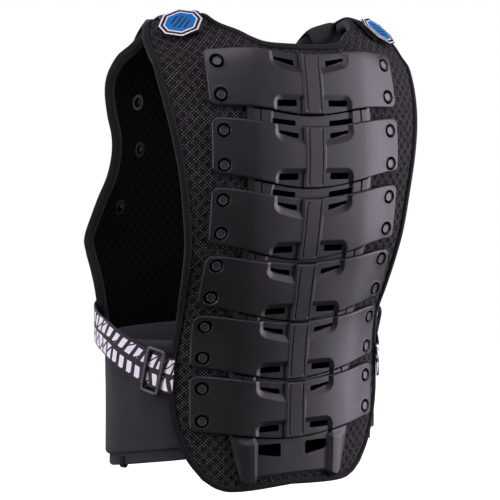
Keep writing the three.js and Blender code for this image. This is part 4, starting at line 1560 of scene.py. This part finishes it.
@dataclass
class ShoulderTabs:
    """Tabs over the shoulders with their octagonal fastener badges."""

    on_back: tuple = tuple(
        StrapRow(*row)
        for row in (
            (-14, 118, 12), (-6, 117.5, 17), (8, 115, 19), (28, 111, 19), (45, 109, 18.5),
            (59.5, 107.5, 17.5),
        )
    )
    on_front: tuple = tuple(
        StrapRow(*row) for row in ((5, 104.5, 17.5), (-12, 104, 17.5), (-27, 104, 17.5), (-42, 104.5, 16))
    )
    thick: float = 3.5
    lift: float = 1.2
    pad: float = 17
    arch: float = 2
    span: tuple = ((0.18, 0.82), (0.5, 1.0), (0.82, 0.82))
    edge_power: float = 10
    print_from: float = 96
    steps: int = 90
    lanes: int = 28
    badge_x: float = 119.5
    badge_run: float = -1.5
    badge_long: float = 45
    badge_wide: float = 40
    badge_cut: float = 13
    badge_thick: float = 3
    badge_gap: float = 0.4
    corner_share: float = 0.586
    badge_rings: tuple = (
        (0.6, 0.0, 2), (0.0, 0.6, 2), (0.0, 1.9, 2), (0.4, 2.5, 1), (2.0, 2.6, 2), (2.4, 2.2, 2),
        (4.4, 2.2, 2), (4.8, 2.8, 1), (6.2, 2.9, 0), (7.0, 2.6, 0), (8.0, 2.7, 0), (13.0, 2.9, 0),
    )
    bar_lean: float = 0.55
    bar_wide: float = 1.0
    bar_sink: float = 0.4
    bar_proud: float = 0.3
    bar_bevel: float = 0.3
    bars: tuple = ((-7.5, 6.5), (-2.5, 9.5), (2.5, 9.5), (7.5, 6.5))
    badge_turn: float = 0.17

    def lane(self, side: Side, share: float, lift: float, hang: float) -> Array:
        """One line along a tab, hanging down between the panels by the given amount."""
        knots = []
        for form, rows in ((BACK, self.on_back), (FRONT, self.on_front)):
            for row in rows:
                x = side.value * (row.x + share * row.half)
                knots.append(form.lifted(x, row.run, lift))
        after = len(self.on_back)
        last, first = knots[after - 1], knots[after]
        between = [last + (first - last) * s - np.array([0, 0, hang * part]) for s, part in self.span]
        curve = spline([*knots[:after], *between, *knots[after:]], centripetal=True)
        return evenly(curve, self.steps + 1)

    def tab(self, side: Side, finishes: Finishes) -> bpy.types.Object:
        """One tab, rounded along its edges."""
        shares = np.sin(np.linspace(-1, 1, self.lanes + 1) * math.pi / 2)
        full = np.sqrt(np.clip(1 - np.abs(shares) ** self.edge_power, 0, 1))
        half = self.thick / 2
        mid = self.lift + half
        over = [self.lane(side, s, mid + f * half, -self.arch) for s, f in zip(shares, full)]
        under = [self.lane(side, s, mid - f * half, f * self.pad) for s, f in zip(shares, full)]
        outer, inner = np.stack(over, 1), np.stack(under, 1)
        middle = outer[:, self.lanes // 2]
        along = np.broadcast_to(lengths(middle)[:, None], outer.shape[:2])
        widest = max(row.half for row in self.on_back)
        across = np.broadcast_to(shares * widest, outer.shape[:2])
        sheet = Sheet(outer, inner, np.stack([along, across], -1))
        kinds = (along[:-1, :-1] > self.print_from).astype(int)
        materials = [finishes.tab, finishes.print]
        piece = sheet.build(f"shoulder_tab_{side.label}", materials, CLOTH_SHARP, kinds)
        return settle(piece, "tab_fabric", f"shoulder_strap_{side.label}")

    def octagon(self, inset: float) -> Array:
        """Corners of the badge's outline, moved inwards."""
        a, b = self.badge_long / 2 - inset, self.badge_wide / 2 - inset
        cut = self.badge_cut - inset * self.corner_share
        half = [(a, b - cut), (a - cut, b), (cut - a, b), (-a, b - cut)]
        return np.array(half + [(-x, -y) for x, y in half])

    def bar(self, at: float, reach: float) -> tuple[Array, Array]:
        """Straight raised bar on the badge's face.

        Args:
            at: How far the bar lies from the badge's middle.
            reach: Half of its length.

        Returns:
            Its points and its faces, numbered from 0.
        """
        along = np.array([math.cos(self.bar_lean), math.sin(self.bar_lean)])
        beside = np.array([-along[1], along[0]])
        ends = np.array([(1, 1), (-1, 1), (-1, -1), (1, -1)])
        rings = []
        for inset, lift in ((0, -self.bar_sink), (self.bar_bevel, self.bar_proud)):
            long, wide = reach - inset, self.bar_wide - inset
            flat = beside * at + ends[:, :1] * along * long + ends[:, 1:] * beside * wide
            rings.append(np.column_stack([flat, np.full(4, self.badge_thick + lift)]))
        walls = [(k, (k + 1) % 4, (k + 1) % 4 + 4, k + 4) for k in range(4)]
        return np.vstack(rings), np.array([*walls, (4, 5, 6, 7), (3, 2, 1, 0)])

    def badge_faces(self) -> tuple[Array, list, list]:
        """Points of a badge in its own frame, its faces and their material numbers."""
        rings = self.badge_rings
        points = np.vstack([np.column_stack([self.octagon(i), np.full(8, high)]) for i, high, _ in rings])
        quads, kinds = [], []
        for level, (_, _, kind) in enumerate(rings[:-1]):
            for k in range(8):
                n = (k + 1) % 8
                quads.append((level * 8 + k, level * 8 + n, level * 8 + 8 + n, level * 8 + 8 + k))
                kinds.append(kind)
        last = (len(rings) - 1) * 8
        for base, kind in ((last, 0), (0, 2)):
            loop = [base + k for k in range(8)]
            if base == 0:
                loop = loop[::-1]
            for a in (0, 2, 4):
                quads.append((loop[0], loop[a + 1], loop[a + 2], loop[(a + 3) % 8]))
                kinds.append(kind)
        for at, reach in self.bars:
            corners, faces = self.bar(at, reach)
            quads.extend(tuple(face) for face in faces + len(points))
            kinds.extend([2] * len(faces))
            points = np.vstack([points, corners])
        return points, quads, kinds

    def badge(self, side: Side, finishes: Finishes) -> bpy.types.Object:
        """Blue octagon inside a white line, a black gap and a white rim."""
        points, quads, kinds = self.badge_faces()
        x = side.value * self.badge_x
        out = BACK.normal(x, self.badge_run)
        place = BACK.lifted(x, self.badge_run, self.lift + self.thick + self.badge_gap)
        across = unit(np.array([side.value, 0, 0]) - out * out[0] * side.value)
        turn = Matrix.Rotation(side.value * self.badge_turn, 3, Vector(out))
        across = np.array(turn @ Vector(across))
        beside = np.cross(out, across)
        world = place + points[:, :1] * across + points[:, 1:2] * beside + points[:, 2:] * out
        materials = [finishes.blue, finishes.white, finishes.black]
        name = f"octagon_badge_{side.label}"
        piece = make_mesh(name, world, np.array(quads), materials, sharp=25, kinds=kinds)
        return settle(piece, "badge_blue", f"shoulder_badge_{side.label}")

    def build(self, finishes: Finishes) -> None:
        """Makes both tabs and badges."""
        for side in Side:
            self.tab(side, finishes)
            self.badge(side, finishes)


@dataclass
class SideStraps:
    """Printed elastic straps from the back panel to the front panel, with their sliders."""

    line: tuple = (
        (127.5, 44.5, -374.5), (131.5, 41.8, -374), (137, 33.5, -371.5), (146, 18, -367),
        (154.5, 4, -360), (163.5, -12, -351), (168.5, -32, -341), (168, -60, -333), (159.3, -88, -327),
        (142.2, -106.6, -320),
    )
    middle_y: float = -30
    high: float = 38
    thick: float = 1.6
    edge_power: float = 16
    steps: int = 140
    lanes: int = 20
    slider_at: tuple = (("left", 0.13), ("right", 0.5))
    slider_long: float = 26
    slider_high: float = 52
    slider_bar: float = 5.4
    slider_thick: float = 3.4
    slider_power: float = 9
    slider_steps: int = 160
    slider_ridge: float = 0.07
    slider_places: int = 400
    bar_power: float = 3.5
    bar_points: int = 16
    seat_gap: float = 0.8

    def frame_along(self, side: Side, count: int) -> tuple[Array, Array, Array, Array]:
        """Places, directions, outward and upward sides along a strap."""
        place = evenly(spline(self.line, centripetal=True), count) * np.array([side.value, 1, 1])
        along = unit(np.gradient(place, axis=0))
        out = unit(np.stack([-along[:, 1], along[:, 0], np.zeros(count)], 1))
        wrong = (out * (place - np.array([0, self.middle_y, 0]))).sum(1) < 0
        out[wrong] *= -1
        up = unit(np.cross(along, out))
        up[up[:, 2] < 0] *= -1
        return place, along, out, up

    def strap(self, side: Side, finishes: Finishes) -> bpy.types.Object:
        """One strap with rounded selvedges."""
        place, _, out, up = self.frame_along(side, self.steps + 1)
        shares = np.sin(np.linspace(-1, 1, self.lanes + 1) * math.pi / 2)
        full = np.sqrt(np.clip(1 - np.abs(shares) ** self.edge_power, 0, 1)) * self.thick / 2
        middle = place[:, None] + up[:, None] * (shares * self.high / 2)[None, :, None]
        outer = middle + out[:, None] * full[None, :, None]
        inner = middle - out[:, None] * full[None, :, None]
        along = np.broadcast_to(lengths(place)[:, None], outer.shape[:2])
        across = np.broadcast_to(shares * self.high / 2, outer.shape[:2])
        sheet = Sheet(outer, inner, np.stack([along, across], -1))
        piece = sheet.build(f"printed_strap_{side.label}", [finishes.print], CLOTH_SHARP)
        return settle(piece, "printed_elastic", f"side_strap_{side.label}")

    def slider(self, side: Side, finishes: Finishes) -> bpy.types.Object:
        """One slider: a rounded frame with grip ridges."""
        place, _, out, up = self.frame_along(side, self.slider_places)
        k = int(round(dict(self.slider_at)[side.label] * (self.slider_places - 1)))
        out, up, place = out[k], up[k], place[k]
        across = np.cross(up, out)
        half = (self.slider_long - self.slider_bar) / 2, (self.slider_high - self.slider_bar) / 2
        path = rounded_loop(*half, self.slider_power, self.slider_steps)
        path = evenly(np.vstack([path, path[:1]]), self.slider_steps + 1)[:-1]
        ahead = unit(np.roll(path, -1, axis=0) - np.roll(path, 1, axis=0))
        beside = np.stack([ahead[:, 1], -ahead[:, 0]], 1)
        bar = (self.slider_bar / 2, self.slider_thick / 2)
        section = rounded_loop(*bar, self.bar_power, self.bar_points)
        wide, high = section.T
        base = self.thick / 2 + self.seat_gap + self.slider_thick / 2
        ridge = 1 + self.slider_ridge * np.sign(np.cos(np.arange(self.slider_steps) * math.pi / 2))
        flat = path[:, None] + beside[:, None] * wide[None, :, None]
        tall = base + high[None] * ridge[:, None]
        world = place + flat[..., :1] * across + flat[..., 1:] * up + tall[..., None] * out
        along, across = way_round(path), way_round(section)
        piece = ring_piece(f"slider_frame_{side.label}", world, [finishes.slider], along, across)
        return settle(piece, "slider_plastic", f"strap_slider_{side.label}")

    def build(self, finishes: Finishes) -> None:
        """Makes both straps and sliders."""
        for side in Side:
            self.strap(side, finishes)
            self.slider(side, finishes)


@dataclass
class WaistBelt:
    """Neoprene waist belt with its lower flap and small loop."""

    line: tuple = (
        (0, 64.5), (60, 59.5), (105, 42.5), (131, 25.5), (153, 2), (165, -30), (158, -64), (128, -98),
        (75, -121), (0, -128),
    )
    top: float = -338.5
    bottom: float = -469
    rise: float = 0.19
    rise_from: float = -45
    thick: float = 4
    flap_inset: float = 4.4
    flap_top: float = -415
    flap_bottom: float = -482
    flap_thick: float = 2.5
    steps: int = 240
    rows: int = 26
    seam_below: float = 17.5
    seam_deep: float = 1.1
    seam_wide: float = 1.2
    fixed_rows: float = 27
    slow_wave: tuple = (0.5, 9, 2)
    quick_wave: tuple = (0.35, 23, 3)
    loop_wide: float = 7
    loop_thick: float = 1.3
    loop_slack: float = 2.4
    loop_leg: float = 6
    loop_power: float = 8
    loop_lanes: int = 9

    def ring(self, inset: float) -> tuple[Array, Array]:
        """Places and outward directions round the belt, seen from above."""
        half = np.array(self.line, float)
        other = (half[1:-1] * np.array([-1, 1]))[::-1]
        curve = spline(np.vstack([half, other]), closed=True, centripetal=True)
        line = evenly(curve, self.steps + 1)[:-1]
        ahead = unit(np.roll(line, -1, axis=0) - np.roll(line, 1, axis=0))
        out = np.stack([-ahead[:, 1], ahead[:, 0]], 1)
        wrong = (out * line).sum(1) < 0
        out[wrong] *= -1
        return line - out * inset, out

    def levels(self, room: Array) -> Array:
        """Distances below the top edge for each place round the ring, closer at the sewn line."""
        near = self.seam_below + self.seam_wide * np.linspace(-2, 2, 9)
        upper = np.concatenate([np.linspace(0, near[0], 5)[:-1], near])
        share = np.linspace(0, 1, self.rows)
        lower = self.fixed_rows + (room[:, None] - self.fixed_rows) * share
        return np.hstack([np.broadcast_to(upper, (len(room), len(upper))), lower])

    def wave(self, angle: Array, share: Array) -> Array:
        """Soft unevenness of the stretched cloth."""
        high, waves, lean = self.slow_wave
        slow = high * np.sin(angle * waves + share * lean) * np.sin(share * math.pi)
        high, waves, lean = self.quick_wave
        return slow + high * np.sin(angle * waves - share * lean) * share

    def band(
        self, name: str, inset: float, thick: float, top: float, bottom: float, finishes: Finishes
    ) -> tuple[bpy.types.Object, float, float]:
        """Closed band with rounded edges and a sewn line.

        Args:
            name: Name of the piece.
            inset: How far it lies inside the belt's outer line.
            thick: Thickness of the cloth.
            top: Height of its upper edge.
            bottom: Height of its lower edge at the front.
            finishes: Materials of the vest.

        Returns:
            The piece, its length and its mean height.
        """
        line, out = self.ring(inset)
        low = bottom + self.rise * np.maximum(line[:, 1] - self.rise_from, 0)
        room = top - low - thick
        angle = np.arctan2(line[:, 1], line[:, 0])
        below = self.levels(room)[:, ::-1]
        seam = self.seam_deep * np.exp(-(((below - self.seam_below) / self.seam_wide) ** 2))
        turn = np.linspace(0, math.pi, 7)[1:-1]
        bulge = np.tile(thick / 2 * np.sin(turn), (len(line), 1))
        deep = np.tile(thick / 2 * (1 - np.cos(turn)), (len(line), 1))
        back = below[:, ::-3]
        depth = np.hstack([seam, deep, np.full(back.shape, thick), deep[:, ::-1]])
        down = np.hstack([below, -bulge, back, room[:, None] + bulge])
        reach = depth - self.wave(angle[:, None], down / room[:, None])
        flat = line[:, None] - out[:, None] * reach[..., None]
        sections = np.concatenate([flat, (top - thick / 2 - down)[..., None]], -1)
        along = way_round(line)
        piece = ring_piece(name, sections, [finishes.belt], along, way_round(sections[0]), CLOTH_SHARP)
        return piece, along[-1], (top - low).mean()

    def loop(self, finishes: Finishes) -> bpy.types.Object:
        """Small band hooked round the flap's lower edge."""
        low, high = (np.array(corner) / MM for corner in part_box("belt_loop"))
        middle = (low + high) / 2
        line, out = self.ring(self.flap_inset)
        k = int(np.argmin(np.hypot(*(line - middle[:2]).T)))
        outward = np.array([*out[k], 0])
        along = np.array([-outward[1], outward[0], 0])
        reach = (self.flap_thick + self.loop_slack + self.loop_thick) / 2
        bend = low[2] + reach
        path = [(reach, level) for level in np.linspace(high[2], bend, 10)]
        for t in np.linspace(0, math.pi, 12)[1:-1]:
            path.append((reach * math.cos(t), bend - reach * math.sin(t)))
        path += [(-reach, level) for level in np.linspace(bend, bend + self.loop_leg, 8)]
        path = np.array(path)
        centre = np.array([*(line[k] - out[k] * self.flap_thick / 2), 0])
        ahead = unit(np.gradient(path, axis=0))
        side = np.stack([ahead[:, 1], -ahead[:, 0]], 1)
        shares = np.linspace(-1, 1, self.loop_lanes)
        full = np.sqrt(np.clip(1 - np.abs(shares) ** self.loop_power, 0, 1)) * self.loop_thick / 2
        across = shares * self.loop_wide / 2
        grids = []
        for sign in (1, -1):
            flat = path[:, None] + side[:, None] * (sign * full)[None, :, None]
            upright = flat[..., :1] * outward + flat[..., 1:] * np.array([0, 0, 1.0])
            grids.append(centre + upright + across[None, :, None] * along)
        cloth = np.stack(np.meshgrid(lengths(path), across, indexing="ij"), -1)
        piece = Sheet(*grids, cloth).build("flap_loop", [finishes.tab], CLOTH_SHARP)
        return settle(piece, "tab_fabric", "belt_loop")

    def build(self, finishes: Finishes) -> None:
        """Makes the belt, its flap and its loop."""
        belt, long, high = self.band("neoprene_belt", 0, self.thick, self.top, self.bottom, finishes)
        high * MM
        long * MM
        settle(belt, "belt_neoprene", "waist_belt")
        flap, long, high = self.band(
            "lower_flap", self.flap_inset, self.flap_thick, self.flap_top, self.flap_bottom, finishes
        )
        high * MM
        long * MM
        settle(flap, "belt_neoprene", "belt_flap")
        self.loop(finishes)


class SoftLight(NamedTuple):
    """Soft light: its angles in degrees, distance and sides in metres, and power in watts."""

    name: str
    azimuth: float
    elevation: float
    far: float
    wide: float
    tall: float
    power: float


@dataclass
class Studio:
    """Pale floor, white surround, soft lights and the camera."""

    target: tuple = (0, -20, -250)
    azimuth: float = 151
    elevation: float = 4.14
    distance: float = 1723
    lens: float = 110.78
    floor_below: float = 1400
    floor_reach: float = 9000
    floor_glow: float = 1.3
    fill: float = 0.05
    tint: tuple = (1.0, 0.905, 1.085)
    lamps: tuple = (
        SoftLight("key_right", 243, 5, 2.2, 1.7, 2.2, 71),
        SoftLight("top_soft", 160, 58, 1.8, 1.2, 1.2, 18),
        SoftLight("fill_left", 96, 8, 2.4, 1.2, 1.6, 44),
        SoftLight("front_soft", 10, 25, 2.4, 1.6, 1.6, 40),
    )

    def direction(self, azimuth: float, elevation: float) -> Vector:
        """Direction from the target towards a place round it, angles in degrees."""
        a, e = math.radians(azimuth), math.radians(elevation)
        return Vector((math.sin(a) * math.cos(e), -math.cos(a) * math.cos(e), math.sin(e)))

    def camera(self) -> None:
        """Camera at the picture's viewing angle."""
        data = bpy.data.cameras.new("picture_camera")
        data.sensor_width = 36
        data.lens = self.lens
        back = self.direction(self.azimuth, self.elevation)
        camera = bpy.data.objects.new("picture_camera", data)
        camera.location = (Vector(self.target) + back * self.distance) * MM
        camera.rotation_euler = back.to_track_quat("Z", "Y").to_euler()
        bpy.context.scene.collection.objects.link(camera)
        bpy.context.scene.camera = camera

    def light(self, lamp: SoftLight) -> None:
        """Soft light aimed at the vest."""
        data = bpy.data.lights.new(lamp.name, "AREA")
        data.shape = "RECTANGLE"
        data.size = lamp.wide
        data.size_y = lamp.tall
        data.energy = lamp.power
        data.color = self.tint
        toward = self.direction(lamp.azimuth, lamp.elevation)
        holder = bpy.data.objects.new(lamp.name, data)
        holder.location = Vector(self.target) * MM + toward * lamp.far
        holder.rotation_euler = toward.to_track_quat("Z", "Y").to_euler()
        bpy.context.scene.collection.objects.link(holder)

    def world(self) -> None:
        """White surround that lights the vest only a little."""
        world = bpy.data.worlds.new("white_surround")
        world.use_nodes = True
        tree = world.node_tree
        tree.nodes.clear()
        rays = tree.nodes.new("ShaderNodeLightPath")
        shown = tree.nodes.new("ShaderNodeBackground")
        shown.inputs["Color"].default_value = grey(1)
        fill = tree.nodes.new("ShaderNodeBackground")
        fill.inputs["Color"].default_value = grey(1)
        fill.inputs["Strength"].default_value = self.fill
        mix = tree.nodes.new("ShaderNodeMixShader")
        end = tree.nodes.new("ShaderNodeOutputWorld")
        tree.links.new(rays.outputs["Is Camera Ray"], mix.inputs[0])
        tree.links.new(fill.outputs[0], mix.inputs[1])
        tree.links.new(shown.outputs[0], mix.inputs[2])
        tree.links.new(mix.outputs[0], end.inputs["Surface"])
        bpy.context.scene.world = world

    def floor(self) -> None:
        """Pale floor some way under the vest, bright enough to meet the white surround."""
        level = CAD_BOX[0].z / MM - self.floor_below
        corners = np.array([(-1, -1), (1, -1), (1, 1), (-1, 1)]) * self.floor_reach
        points = np.column_stack([corners, np.full(4, level)])
        tree = ShaderTree("pale_floor")
        cloud = tree.noise(tree.place(), 3, 2)
        colour = tree.blend(cloud, grey(0.9), grey(0.94))
        glow = {"Roughness": 0.9, "Emission Color": grey(1), "Emission Strength": self.floor_glow}
        finish = tree.close({"Base Color": colour}, glow)
        floor = make_mesh("pale_floor", points, np.array([[0, 1, 2, 3]]), [finish])
        floor.visible_diffuse = False
        floor.visible_glossy = False

    def build(self) -> None:
        """Sets the stage."""
        self.camera()
        self.world()
        self.floor()
        for lamp in self.lamps:
            self.light(lamp)
        view = bpy.context.scene.view_settings
        view.view_transform = "Standard"
        view.look = "None"


def main() -> None:
    """Builds every piece of the vest and the studio round it."""
    logging.basicConfig(level=logging.INFO, format="%(message)s")
    finishes = Finishes()
    plates = SpinePlates()
    BACK_PANEL.build(finishes)
    SpineStrip().build(plates, finishes)
    plates.build(finishes)
    FRONT_PANEL.build(finishes)
    ChestShield().build(finishes)
    ShoulderTabs().build(finishes)
    SideStraps().build(finishes)
    WaistBelt().build(finishes)
    Studio().build()


if __name__ == "__main__":
    main()
